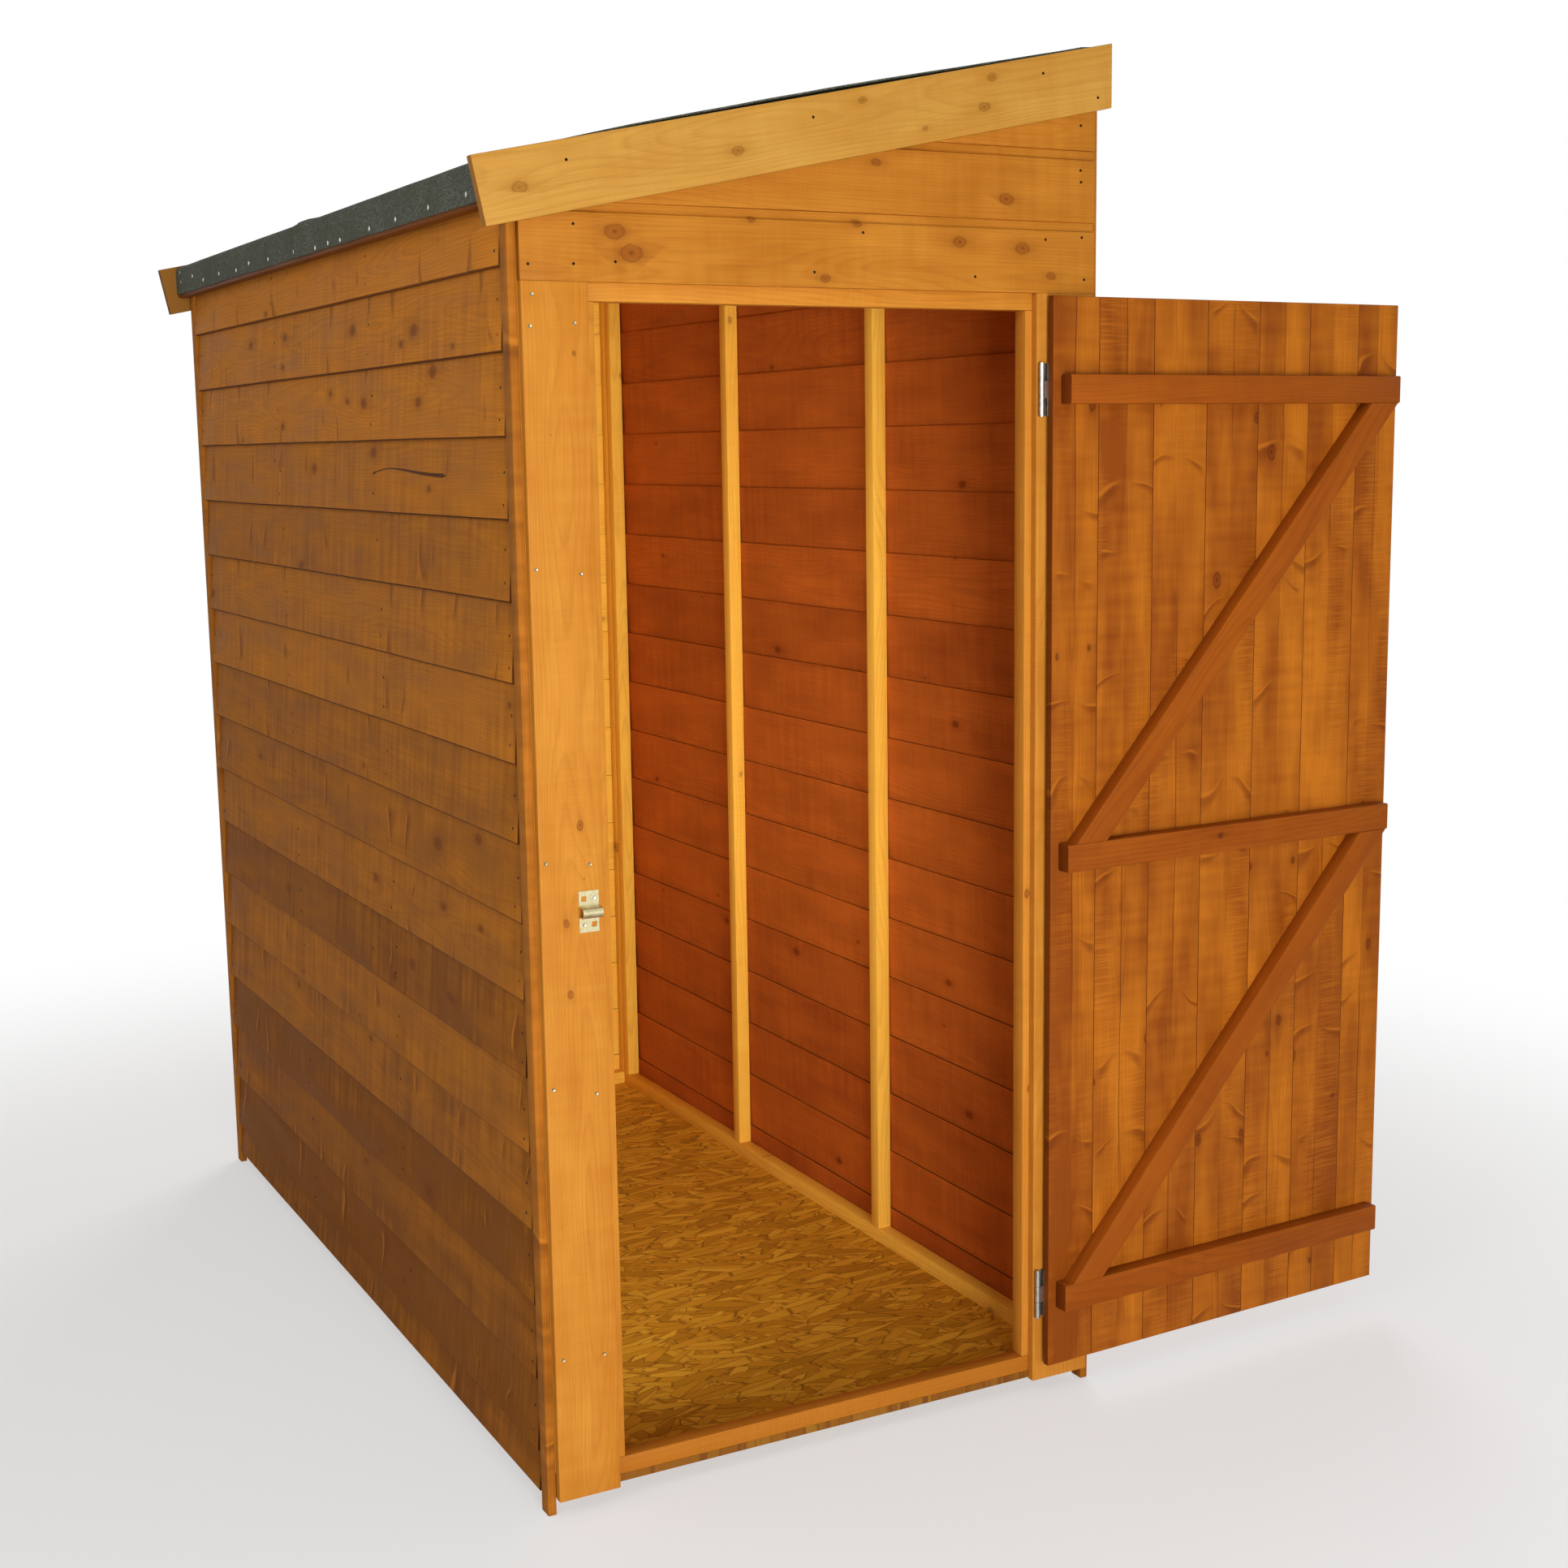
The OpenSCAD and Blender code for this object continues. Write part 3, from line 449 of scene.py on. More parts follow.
FRAME_WOOD = softwood("bare_pine_batten", "#fdc84c", "#eeab3a", "#bf8430", "#6f3d12", ring=3.0,
                      contrast=0.32, knotty=0.4, saw=0.2, patch=0.5)
JAMB_WOOD = softwood("planed_pine_amber_stain", "#dc9638", "#c07622", "#955112", "#5a2a09", contrast=0.24,
                     patch=0.6, rough=0.52)
STRANDS = strand_board()
FELT = mineral_felt()
ZINC = plated_steel("zinc_plated_steel", "#d4d3cb", "#a5a49a", 0.34)
PASSIVATE = plated_steel("yellow_zinc_plated_steel", "#d9cfa8", "#b3a67a", 0.36)
SCREW_STEEL = plated_steel("dulled_zinc_screw", "#a29c86", "#7c7562", 0.42)
NAIL_STEEL = plated_steel("rusted_wire_nail", "#33261c", "#1d130c", 0.62)


# Modelling

def mode(kind):
    """Goes to edit or object mode."""
    bpy.ops.object.mode_set(mode=kind)


def only(ob):
    """Selects one object and makes it the active one."""
    bpy.ops.object.select_all(action="DESELECT")
    ob.select_set(True)
    bpy.context.view_layer.objects.active = ob


def squared(depth, low, high):
    """A rectangular section, between a low and a high edge."""
    return [(0, low), (depth, low), (depth, high), (0, high)]


def milled(outline, length, ease=1.0 * MM, cuts=0):
    """A length of timber along +X with the given section of (depth, height) points, its arrises eased."""
    bpy.ops.object.select_all(action="DESELECT")
    bpy.ops.mesh.primitive_circle_add(vertices=len(outline), fill_type="NGON")
    ob = bpy.context.object
    for vert, (depth, height) in zip(ob.data.vertices, outline):
        vert.co = (0, depth, height)
    mode("EDIT")
    bpy.ops.mesh.select_mode(type="EDGE")
    bpy.ops.mesh.select_all(action="SELECT")
    bpy.ops.mesh.extrude_region_move(TRANSFORM_OT_translate={"value": (length, 0, 0)})
    bpy.ops.mesh.select_all(action="SELECT")
    bpy.ops.mesh.normals_make_consistent(inside=False)
    if ease:
        bpy.ops.mesh.select_all(action="DESELECT")
        bpy.ops.mesh.edges_select_sharp(sharpness=radians(40))
        bpy.ops.mesh.bevel(offset=ease, segments=2, affect="EDGES")
    if cuts:
        mode("OBJECT")
        co = ob.data.vertices
        for edge in ob.data.edges:
            a, b = (co[i].co for i in edge.vertices)
            edge.select = abs(a.x - b.x) > length / 2
        mode("EDIT")
        bpy.ops.mesh.subdivide(number_cuts=cuts)
    mode("OBJECT")
    return ob


SAWN_END = 1.1  # how much darker a sawn end is


def seasoned(ob, tone=0.0, sawn_at=None, under=0.0, upper=0.0, knots=()):
    """Gives a piece its grain, which runs along its own X, from a place of its own in the log, and its
    tone, which is darker on the sawn ends and, by the amounts given, on the under and upper edge, where it is
    painted shade along the laps and joints together with the stain that gathers there. Each face
    is told the two known knots that lie nearest along the log."""
    shift = Vector((draw(0, 60), draw(-70, 70) * MM, draw(18, 75) * MM))
    if sawn_at is not None:
        shift = Vector(sawn_at)
    mesh = ob.data
    layer = mesh.attributes.get("grain") or mesh.attributes.new("grain", "FLOAT_VECTOR", "POINT")
    layer.data.foreach_set("vector", [c for v in mesh.vertices
                                      for c in (v.co.x + shift.x, v.co.z + shift.y, v.co.y + shift.z)])
    level = mesh.attributes.get("tone") or mesh.attributes.new("tone", "FLOAT", "FACE")
    for face, own in zip(mesh.polygons, level.data):
        along, up = abs(face.normal.x), face.normal.z
        # Under and upper edges: painted shade of the laps and joints, with the stain that gathers at the
        # arris
        own.value = tone + (SAWN_END if along > 0.9 else under if up < -0.5 else upper if up > 0.5 else 0.0)
    if knots:
        order = [sorted(knots, key=lambda k: abs(k[0] - shift.x - p.center.x)) for p in mesh.polygons]
        for name, rank in (("knot_near", 0), ("knot_next", 1)):
            told = mesh.attributes.new(name, "FLOAT_VECTOR", "FACE")
            told.data.foreach_set("vector", [c for near in order for c in near[min(rank, len(near) - 1)]])
    return ob


def turned(along, depth, width, origin):
    """The place of a piece whose length, depth and width run along these directions from an origin."""
    place = Matrix((along, depth, width)).transposed().to_4x4()
    place.translation = Vector(origin)
    return place


def copy_of(ob):
    """A copy with its own mesh."""
    twin = ob.copy()
    twin.data = ob.data.copy()
    bpy.context.collection.objects.link(twin)
    return twin


def trimmed(ob, point, normal):
    """Cuts off what lies beyond a plane and closes the cut."""
    if all((v.co - point).dot(normal) < 1e-6 for v in ob.data.vertices):
        return ob
    only(ob)
    mode("EDIT")
    bpy.ops.mesh.select_all(action="SELECT")
    bpy.ops.mesh.bisect(plane_co=point, plane_no=normal, use_fill=True, clear_outer=True)
    mode("OBJECT")
    return ob


def joined(name, parts, material, slot, *nodes, body="shed"):
    """Joins parts into one named piece that rides on a body and stands for CAD nodes."""
    only(parts[0])
    for part in parts:
        part.select_set(True)
    if len(parts) > 1:
        bpy.ops.object.join()
    ob = parts[0]
    ob.name = ob.data.name = name
    ob.data.materials.clear()
    ob.data.materials.append(material)
    bpy.ops.object.shade_smooth_by_angle(angle=radians(35))
    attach(ob, body)
    if nodes:
        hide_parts(*nodes)
    return ob


def timber(low, high, axis, ease=1.2 * MM, cuts=0, tone=0.0, sawn_at=None, broad=False, knots=()):
    """A squared timber between two corners, its grain along an axis."""
    low, high = Vector(low), Vector(high)
    size = high - low
    along, depth, width, start = {
        "x": (X, Y, Z, low),
        "y": (Y, -X, Z, (high.x, low.y, low.z)),
        "z": (Z, X, Y, low) if broad else (Z, -Y, X, (low.x, high.y, low.z))}[axis]
    ob = milled(squared(abs(size.dot(depth)), 0, size.dot(width)), size.dot(along), ease, cuts)
    seasoned(ob, tone, sawn_at, knots=knots)
    ob.data.transform(turned(along, depth, width, start))
    return ob


def tone_of(level, spread=0.22):
    """A board's tone: the level given, and how much darker than its neighbours it took the stain."""
    return level + draw(-spread, spread)


# Lapped wall boards: one tapered board is modelled for a wall, and each course is a copy of it that
# is bowed a little and starts at a place of its own in the log.

def lapped_wall(name, node, length, place, level, end_gap, inside, log=None):
    """A wall of courses, with another wood on its inside."""
    masters = {}
    boards = []
    for number, (low, height) in enumerate(COURSES):
        if low > TOP_COURSE:
            continue
        if height not in masters:
            outline = [(TIP * MM, 0), (10.6 * MM, 0), (BUTT * MM, 3 * MM), (TIP * MM, height), (0, height)]
            masters[height] = milled(outline, length, 0.9 * MM, cuts=14)
        board = copy_of(masters[height])
        seed = Vector((number * 7.31, length, 3.0))
        sag = draw(0.4, 1.2) * MM
        gap = end_gap * draw(0.5, 1.3)
        lean = draw(-0.6, 0.8) * MM
        # The under and upper edges are darkened: painted shade below each lap and on the inside, with the
        # stain at the arris
        seasoned(board, tone_of(level(number)), log and log[number], under=1.7, upper=1.4,
                 knots=WALL_KNOTS if log else ())
        for vert in board.data.vertices:
            x, z = vert.co.x, vert.co.z
            share = 1 - z / height
            vert.co.z += sag * noise.noise(seed + Vector((x * 2.6, 0, 0)))
            vert.co.y += share * 0.6 * MM * noise.noise(seed + Vector((x * 3.1, 9, 0)))
            if x < 20 * MM:
                vert.co.x += gap * (0.35 + 0.65 * min(1.0, share * 1.25)) + lean * share
        board.data.transform(place @ Matrix.Translation((0, 0, low)))
        lowest = min(v.co.z - (v.co - WALL_TOP).x * SLOPE for v in board.data.vertices)
        if lowest > WALL_TOP.z:
            bpy.data.objects.remove(board)
            continue
        boards.append(trimmed(board, WALL_TOP, SLOPE_UP))
    for master in masters.values():
        bpy.data.objects.remove(master)
    wall = joined(name, boards, WALL_WOOD, "wall_boards", node)
    wall.data.materials.append(inside)
    inward = place.to_3x3() @ -Y
    for face in wall.data.polygons:
        face.material_index = int(face.normal.dot(inward) > 0.7)


WALL_RUN = BACK - STRIP - 1 * MM - WALL_START
# The low wall's level darkens its lower courses: painted shade, as less light reaches them
lapped_wall("left_wall_lapped_boards", "left_wall_boards", WALL_RUN,
            turned(Y, -X, Z, (LEFT, WALL_START, 0)), lambda n: 0.5 - 0.05 * n, 7 * MM, INNER_WOOD, WALL_LOG)
lapped_wall("right_wall_lapped_boards", "right_wall_boards", WALL_RUN,
            turned(-Y, X, Z, (RIGHT, BACK - STRIP - 1 * MM, 0)), lambda n: -0.1, 3.0 * MM, INNER_WOOD)
lapped_wall("back_wall_lapped_boards", "back_wall_boards", RIGHT - LEFT,
            turned(X, Y, Z, (LEFT, BACK, 0)), lambda n: -0.06, 0.0, FRAME_WOOD)


# Shiplap: flat-faced boards with a cove beside each joint

def shiplap(width, coved):
    """Section of a shiplap board, with the cove along its far edge."""
    thick, cove, flat = 12 * MM, 5 * MM, 9 * MM
    points = [(0, 0), (thick, 0)]
    if coved:
        for step in range(7):
            angle = radians(90 * step / 6)
            points.append((thick - cove * sin(angle), width - flat - cove * cos(angle)))
        points.append((thick - cove, width))
    else:
        points.append((thick, width))
    return points + [(0, width)]


gable = []
for number in range(4):
    board = milled(shiplap(GABLE_COURSE, True), RIGHT - LEFT, 0.5 * MM, cuts=10)
    # The under edges are darkened: painted shade at each joint, with the stain gathered there
    seasoned(board, tone_of(0.05, 0.12), GABLE_LOG[number], under=0.3, knots=GABLE_KNOTS)
    for vert in board.data.vertices:
        vert.co.z += 0.5 * MM * noise.noise(Vector((vert.co.x * 3, number * 5.3, 1)))
    board.data.transform(turned(-X, -Y, Z, (RIGHT, FRONT, DOOR_HEAD + number * GABLE_COURSE)))
    gable.append(trimmed(board, WALL_TOP, SLOPE_UP))
joined("gable_shiplap_boards", gable, GABLE_WOOD, "front_boards", "gable_boards")


# Boards of the front, and the strips on the corners

for node, log, knots in (("left_cover_board", COVER_LOG, COVER_KNOTS), ("right_cover_board", None, ())):
    board = timber(*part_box(node), "z", 1.6 * MM, cuts=14, tone=0.1, sawn_at=log, knots=knots)
    joined(node + "_eased", [board], FRONT_WOOD, "front_boards", node)
for node, slot in (("front_left_strip", "front_boards"), ("front_right_strip", "front_boards"),
                   ("back_left_strip", "wall_boards"), ("back_right_strip", "wall_boards")):
    strip = timber(*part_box(node), "z", 1.2 * MM, tone=tone_of(0.12, 0.08), broad=True)
    joined(node + "_eased", [trimmed(strip, WALL_TOP, SLOPE_UP)], WALL_WOOD, slot, node)


# Frames of bare battens

def wall_frame(name, node, from_x):
    """The rails and studs of a side wall."""
    to_x = from_x + BATTEN
    first, last = FRONT + BATTEN, BACK - BATTEN
    top = WALL_TOP.z + (to_x - EAVE.x) * SLOPE
    foot = top - BATTEN - BATTEN * SLOPE
    rails = [timber((from_x, first, FLOOR_TOP), (to_x, last, FLOOR_TOP + BATTEN), "y"),
             timber((from_x, first, foot), (to_x, last, top), "y")]
    for i in range(4):
        y = first + i * (last - BATTEN - first) / 3
        rails.append(timber((from_x, y, FLOOR_TOP + BATTEN), (to_x, y + BATTEN, foot), "z",
                            tone=tone_of(0.0, 0.25)))
    parts = [trimmed(rail, WALL_TOP, SLOPE_UP) for rail in rails]
    return joined(name, parts, FRAME_WOOD, "framing", node)


wall_frame("left_wall_battens", "left_wall_frame", LEFT)
wall_frame("right_wall_battens", "right_wall_frame", RIGHT - BATTEN)


def sloping_rail(from_x, to_x, from_y, to_y, drop):
    """A batten under the deck, square to the slope's run across the shed."""
    spare = 20 * MM
    reach = from_x - EAVE.x - spare
    start = WALL_TOP + Vector((reach, 0, reach * SLOPE))
    bar = milled(squared(to_y - from_y, -drop, 0), (to_x - from_x + 2 * spare) / cos(PITCH))
    seasoned(bar)
    bar.data.transform(turned(SLOPE_ALONG, Y, SLOPE_UP, (start.x, from_y, start.z)))
    trimmed(bar, X * from_x, -X)
    return trimmed(bar, X * to_x, X)


RAIL_DEEP = BATTEN * cos(PITCH)
back_parts = [timber((LEFT, BACK - BATTEN, FLOOR_TOP), (RIGHT, BACK, FLOOR_TOP + BATTEN), "x"),
              sloping_rail(LEFT, RIGHT, BACK - BATTEN, BACK, RAIL_DEEP)]
for i in range(3):
    x = LEFT + i * (RIGHT - BATTEN - LEFT) / 2
    stud = timber((x, BACK - BATTEN, FLOOR_TOP + BATTEN), (x + BATTEN, BACK, ABOVE_ROOF), "z",
                  tone=tone_of(0.0, 0.25))
    back_parts.append(trimmed(stud, WALL_TOP - Z * BATTEN, SLOPE_UP))
joined("back_wall_battens", back_parts, FRAME_WOOD, "framing", "back_wall_frame")

posts = []
for x in (LEFT, RIGHT - BATTEN):
    post = timber((x, FRONT, FLOOR_TOP + BATTEN), (x + BATTEN, FRONT + BATTEN, ABOVE_ROOF), "z")
    posts.append(trimmed(post, WALL_TOP - Z * (BATTEN + SEAT), SLOPE_UP))
joined("front_corner_battens", posts, FRAME_WOOD, "framing", "front_corner_posts")
front_rail = sloping_rail(LEFT, RIGHT, FRONT, FRONT + BATTEN, RAIL_DEEP)
joined("front_top_batten", [front_rail], FRAME_WOOD, "framing", "front_top_rail")
purlin = trimmed(timber(*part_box("roof_purlin"), "y"), WALL_TOP, SLOPE_UP)
joined("roof_purlin_batten", [purlin], FRAME_WOOD, "framing", "roof_purlin")

jambs = []
for x in (JAMB_LEFT, JAMB_RIGHT):
    jambs.append(timber((x, FRONT, FLOOR_TOP + BATTEN), (x + BATTEN, FRONT + BATTEN, JAMB_TOP), "z"))
joined("door_jamb_battens", jambs, JAMB_WOOD, "front_boards", "door_posts")
for node, tone in (("door_head_rail", 0.0), ("door_sill", 0.85)):
    rail = timber(*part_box(node), "x", 1.6 * MM, tone=tone)
    joined(node + "_eased", [rail], JAMB_WOOD, "front_boards", node)
low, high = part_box("floor_bearers")
bearers = []
for i in range(3):
    x = low.x + i * (high.x - BEARER - low.x) / 2
    bearers.append(timber((x, low.y, low.z), (x + BEARER, high.y, high.z), "y", 1.5 * MM, tone=0.3))
joined("floor_bearer_battens", bearers, FRAME_WOOD, "framing", "floor_bearers")


# Roof: barge boards, eave batten and two sheets of felt

def barge(name, node, tone, log, knots):
    """A barge board along the slope, its tall end cut upright."""
    from_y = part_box(node)[0].y
    start = EAVE - SLOPE_ALONG * BARGE_REACH - SLOPE_UP * BARGE_DROP
    bar = milled(squared(BARGE_THICK, 0, BARGE_WIDE), BARGE_LONG, 1.3 * MM, cuts=9)
    seasoned(bar, tone, log, knots=knots)
    bar.data.transform(turned(SLOPE_ALONG, Y, SLOPE_UP, (start.x, from_y, start.z)))
    trimmed(bar, X * BARGE_END, X)
    return joined(name, [bar], BARGE_WOOD, "barge_wood", node)


barge("front_barge_planed", "front_barge_board", 0.0, BARGE_LOG, BARGE_KNOTS)
# The back barge board's high tone is painted shade
barge("back_barge_planed", "back_barge_board", 1.15, None, ())

# The eave batten's high tone darkens it as painted shade under the felt's edge
eave = trimmed(timber(*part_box("eave_batten"), "y", 1.0 * MM, tone=1.6), WALL_TOP, SLOPE_UP)
joined("eave_batten_eased", [eave], JAMB_WOOD, "wall_boards", "eave_batten")


# Felt: its edges' distance from the middle, the height its eave edge hangs to, how far it turns down over
# the tall wall, and how far it rises over the sheet below in the lap
EAVE_EDGE, TALL_EDGE = 497 * MM, 477 * MM
DECK, FELT_THICK, FELT_FOOT, TURN_DOWN, LAP_RISE = 11 * MM, 2.5 * MM, 1855 * MM, 45 * MM, 2.9 * MM


def bend(before, corner, after):
    """Six points of a soft bend round a corner."""
    return [before * (1 - t) ** 2 + corner * 2 * t * (1 - t) + after * t ** 2
            for t in (step / 5 for step in range(6))]


def felt_line(outer):
    """The felt's bent line, (x, z), at a distance from the deck, round the eave and over the tall wall."""
    rise = (DECK + outer) / cos(PITCH)
    eave_x, tall_x = -EAVE_EDGE - outer, TALL_EDGE + outer
    corner = Vector((eave_x, EAVE.z + rise + (eave_x - EAVE.x) * SLOPE))
    ridge = Vector((tall_x, EAVE.z + rise + (tall_x - EAVE.x) * SLOPE))
    along = (ridge - corner).normalized()
    soft = 5 * MM + outer
    line = [Vector((eave_x, FELT_FOOT + t * (corner.y - soft - FELT_FOOT))) for t in (0, 0.35, 0.7)]
    line += bend(corner - Vector((0, soft)), corner, corner + along * soft)
    for step in range(1, 36):
        line.append(corner + along * (soft + ((ridge - corner).length - 2 * soft) * step / 36))
    line += bend(ridge - along * soft, ridge, ridge - Vector((0, soft)))
    foot = TALL_TOP - TURN_DOWN
    return line + [Vector((tall_x, foot + t * (ridge.y - soft - foot))) for t in (0.6, 0.3, 0)]


def felt(name, node, from_y, to_y, raised_from, spring):
    """A sheet of felt, uneven, raised where it laps the other, and sprung up at its first edge."""
    outline = [(-p.x, p.y) for p in felt_line(FELT_THICK) + felt_line(0.05 * MM)[::-1]]
    sheet = milled(outline, to_y - from_y, 0, cuts=46)
    for vert in sheet.data.vertices:
        y = from_y + vert.co.x
        swell = noise.noise(Vector((y * 4.2, vert.co.y * 4.2, vert.co.z * 4.2)))
        fine = noise.noise(Vector((y * 15, vert.co.y * 15, vert.co.z * 15)))
        if vert.co.y > EAVE_EDGE - 5 * MM:
            out = Y
        elif vert.co.y < 7 * MM - TALL_EDGE:
            out = -Y
        else:
            out = Vector((0, sin(PITCH), cos(PITCH)))
        lift = 0.5 * MM * (1 + swell) + 0.35 * MM * (1 + fine)
        up_slope = (EAVE_EDGE - vert.co.y) / (TALL_EDGE + EAVE_EDGE)
        arch = 0.66 + 0.45 * sin(pi * up_slope) ** 2
        hump = max(0.0, min(up_slope / 0.25, (1 - up_slope) / 0.06, arch))
        lift += spring * hump * max(0.0, 1 - (y - from_y) / (160 * MM)) ** 2
        if y > raised_from:
            lift += LAP_RISE * min(1.0, (y - raised_from) / (8 * MM))
        vert.co += out * lift
        if vert.co.z < FELT_FOOT + 1 * MM:
            vert.co.z += 1.1 * MM * noise.noise(Vector((y * 9, 3, 0)))
    sheet.data.transform(turned(Y, -X, Z, (0, from_y, 0)))
    return joined(name, [sheet], FELT, "roof_felt", node)


ROOF_FRONT, ROOF_BACK = COVER_FACE, BACK + 14 * MM
LAP_START, LAP_END = -54 * MM, 20 * MM
felt("front_felt_sheet", "front_felt", ROOF_FRONT, LAP_END, LAP_START - 9 * MM, spring=8.6 * MM)
felt("back_felt_sheet", "back_felt", LAP_START, ROOF_BACK, inf, spring=0.0)


# Door: shiplap boards, ledges and braces, modelled shut and turned to where it hangs

JOINTS = [DOOR_FREE] + [DOOR_FREE + (88.5 + 108 * i) * MM for i in range(6)] + [DOOR_HINGE]
door = []
for number, (low, high) in enumerate(zip(JOINTS, JOINTS[1:])):
    board = milled(shiplap(high - low - 0.9 * MM, number < 6), DOOR_TOP - DOOR_FOOT, 0.8 * MM, cuts=4)
    sawn_at = (200 + 5 * number, (low - high) / 2)
    # The side edges are darkened: painted shade in the joints, with the stain gathered there
    seasoned(board, tone_of(0.06, 0.2), (*sawn_at, draw(9, 22) * MM), under=0.9, upper=0.9)
    board.data.transform(HUNG @ turned(Z, -Y, X, (low + 0.45 * MM, DOOR_INNER, DOOR_FOOT)))
    door.append(board)
joined("door_shiplap_boards", door, DOOR_WOOD, "door_wood", "door_boards", body="door")

for height, node in zip(LEDGES, ("door_top_ledge", "door_middle_ledge", "door_bottom_ledge")):
    low = (LEDGE_FREE, DOOR_INNER, height - HALF_LEDGE)
    high = (LEDGE_HINGE, DOOR_INNER + LEDGE_THICK, height + HALF_LEDGE)
    ledge = timber(low, high, "x", 2.2 * MM, tone=tone_of(0.08, 0.1))
    ledge.data.transform(HUNG)
    joined(node + "_eased", [ledge], LEDGE_WOOD, "door_wood", node, body="door")


def brace(node, lower, upper):
    """A brace between two ledges, its ends cut level."""
    foot, head = lower + HALF_LEDGE, upper - HALF_LEDGE
    foot_x, head_x = LEDGE_HINGE - 16 * MM, LEDGE_FREE + 4 * MM
    lean = atan((foot_x - head_x - BRACE_WIDE) / (head - foot))
    cut = BRACE_WIDE / cos(lean)
    low = Vector((foot_x - cut / 2, 0, foot))
    rise = (Vector((head_x + cut / 2, 0, head)) - low).normalized()
    length = (head - foot) / cos(lean)
    section = squared(LEDGE_THICK, -BRACE_WIDE / 2, BRACE_WIDE / 2)
    bar = milled(section, length + 2 * SPARE, 1.6 * MM)
    seasoned(bar, 0.0)
    bar.data.transform(turned(rise, Y, rise.cross(Y), Vector((low.x, DOOR_INNER, low.z)) - rise * SPARE))
    trimmed(bar, Z * foot, -Z)
    trimmed(bar, Z * head, Z)
    bar.data.transform(HUNG)
    return joined(node + "_eased", [bar], LEDGE_WOOD, "door_wood", node, body="door")


brace("door_upper_brace", LEDGES[1], LEDGES[0])
brace("door_lower_brace", LEDGES[2], LEDGES[1])


# Fasteners: each kind is modelled once, head up along +Z, and copied to its places

def fastener(radius, height, sides, dimple, sink):
    """A nail or screw head with an eased rim and a sunk middle."""
    bpy.ops.object.select_all(action="DESELECT")
    bpy.ops.mesh.primitive_cylinder_add(vertices=sides, radius=radius, depth=height,
                                        location=(0, 0, height / 2))
    ob = bpy.context.object
    bpy.ops.object.transform_apply(location=True)
    mode("EDIT")
    bpy.ops.mesh.select_mode(type="FACE")
    mode("OBJECT")
    for face in ob.data.polygons:
        face.select = face.normal.z > 0.9
    mode("EDIT")
    bpy.ops.transform.resize(value=(0.8, 0.8, 1))
    bpy.ops.mesh.inset(thickness=radius * 0.8 * (1 - dimple))
    bpy.ops.transform.translate(value=(0, 0, -sink))
    mode("OBJECT")
    return ob


def fixed(name, master, places, material, body="shed"):
    """Copies of a fastener at (point, outward direction), joined into one piece."""
    heads = []
    for point, out in places:
        head = copy_of(master)
        spin = Matrix.Rotation(draw(0, 3), 4, "Z")
        facing = out.to_track_quat("Z", "Y").to_matrix().to_4x4()
        head.data.transform(Matrix.Translation(point) @ facing @ spin)
        if body == "door":
            head.data.transform(HUNG)
        heads.append(head)
    return joined(name, heads, material, "zinc_steel", body=body)


def face_depth(over):
    """How far a lapped board's face stands out at a height over its lower edge."""
    return (BUTT - (BUTT - TIP) * over / (BOARD_HIGH * MM)) * MM


# How far a nail's head is sunk and stays below the roof's slope, how far over the low eave the tall wall's
# nails go, and where the felt's faces are that the clout nails sit on
SUNK, CLEAR, TALL_NAILS = 0.4 * MM, 30 * MM, 160 * MM
EAVE_FACE, TALL_FACE, LAP_FACE = -500.6 * MM, 480.2 * MM, 17.8 * MM
nail = fastener(2.6 * MM, 0.9 * MM, sides=8, dimple=0.5, sink=0.35 * MM)
screw = fastener(3.2 * MM, 1.3 * MM, sides=12, dimple=0.45, sink=0.6 * MM)
clout = fastener(4.6 * MM, 1.0 * MM, sides=10, dimple=0.6, sink=0.12 * MM)

left_nails, right_nails, back_nails = [], [], []
for low, height in COURSES[1:]:
    for over in (24 * MM, 66 * MM):
        for y in (-864 * MM, -283 * MM, 291 * MM, 874 * MM):
            jitter = draw(-5, 5) * MM
            rise = low + over + draw(-6, 6) * MM
            depth = face_depth(rise - low) - SUNK
            if rise < WALL_TOP.z - CLEAR:
                left_nails.append((Vector((LEFT - depth, y + jitter, rise)), -X))
            if rise < WALL_TOP.z + TALL_NAILS:
                right_nails.append((Vector((RIGHT + depth, y + jitter, rise)), X))
        for x in (-450 * MM, 0, 450 * MM):
            rise = low + over + draw(-6, 6) * MM
            if rise < WALL_TOP.z + (x - EAVE.x) * SLOPE - CLEAR:
                back_nails.append((Vector((x + draw(-5, 5) * MM,
                                           BACK + face_depth(rise - low) - SUNK, rise)), Y))
fixed("left_wall_nails", nail, left_nails, NAIL_STEEL)
fixed("right_wall_nails", nail, right_nails, NAIL_STEEL)
fixed("back_wall_nails", nail, back_nails, NAIL_STEEL)

front_nails = [(Vector((x * MM, FRONT - 11.6 * MM, z * MM)), -Y) for x, z in (
    (-452, 1771), (-387, 1773), (-386, 1825), (-326, 1777), (375, 1828), (441, 1833), (446, 1771),
    (438, 1931), (439, 1914), (438, 1996), (-20, 1771), (60, 1828), (250, 1771))]
for y, out, places in ((ROOF_FRONT - 15.6 * MM, -Y, ((76, -10), (850, -8), (941, -56), (455, -12))),
                       (ROOF_BACK + 15.6 * MM, Y, ((70, -14), (460, -10), (860, -12), (930, -50)))):
    front_nails += [(EAVE + SLOPE_ALONG * a * MM + SLOPE_UP * u * MM + Y * y, out) for a, u in places]
fixed("front_nails", nail, front_nails, NAIL_STEEL)

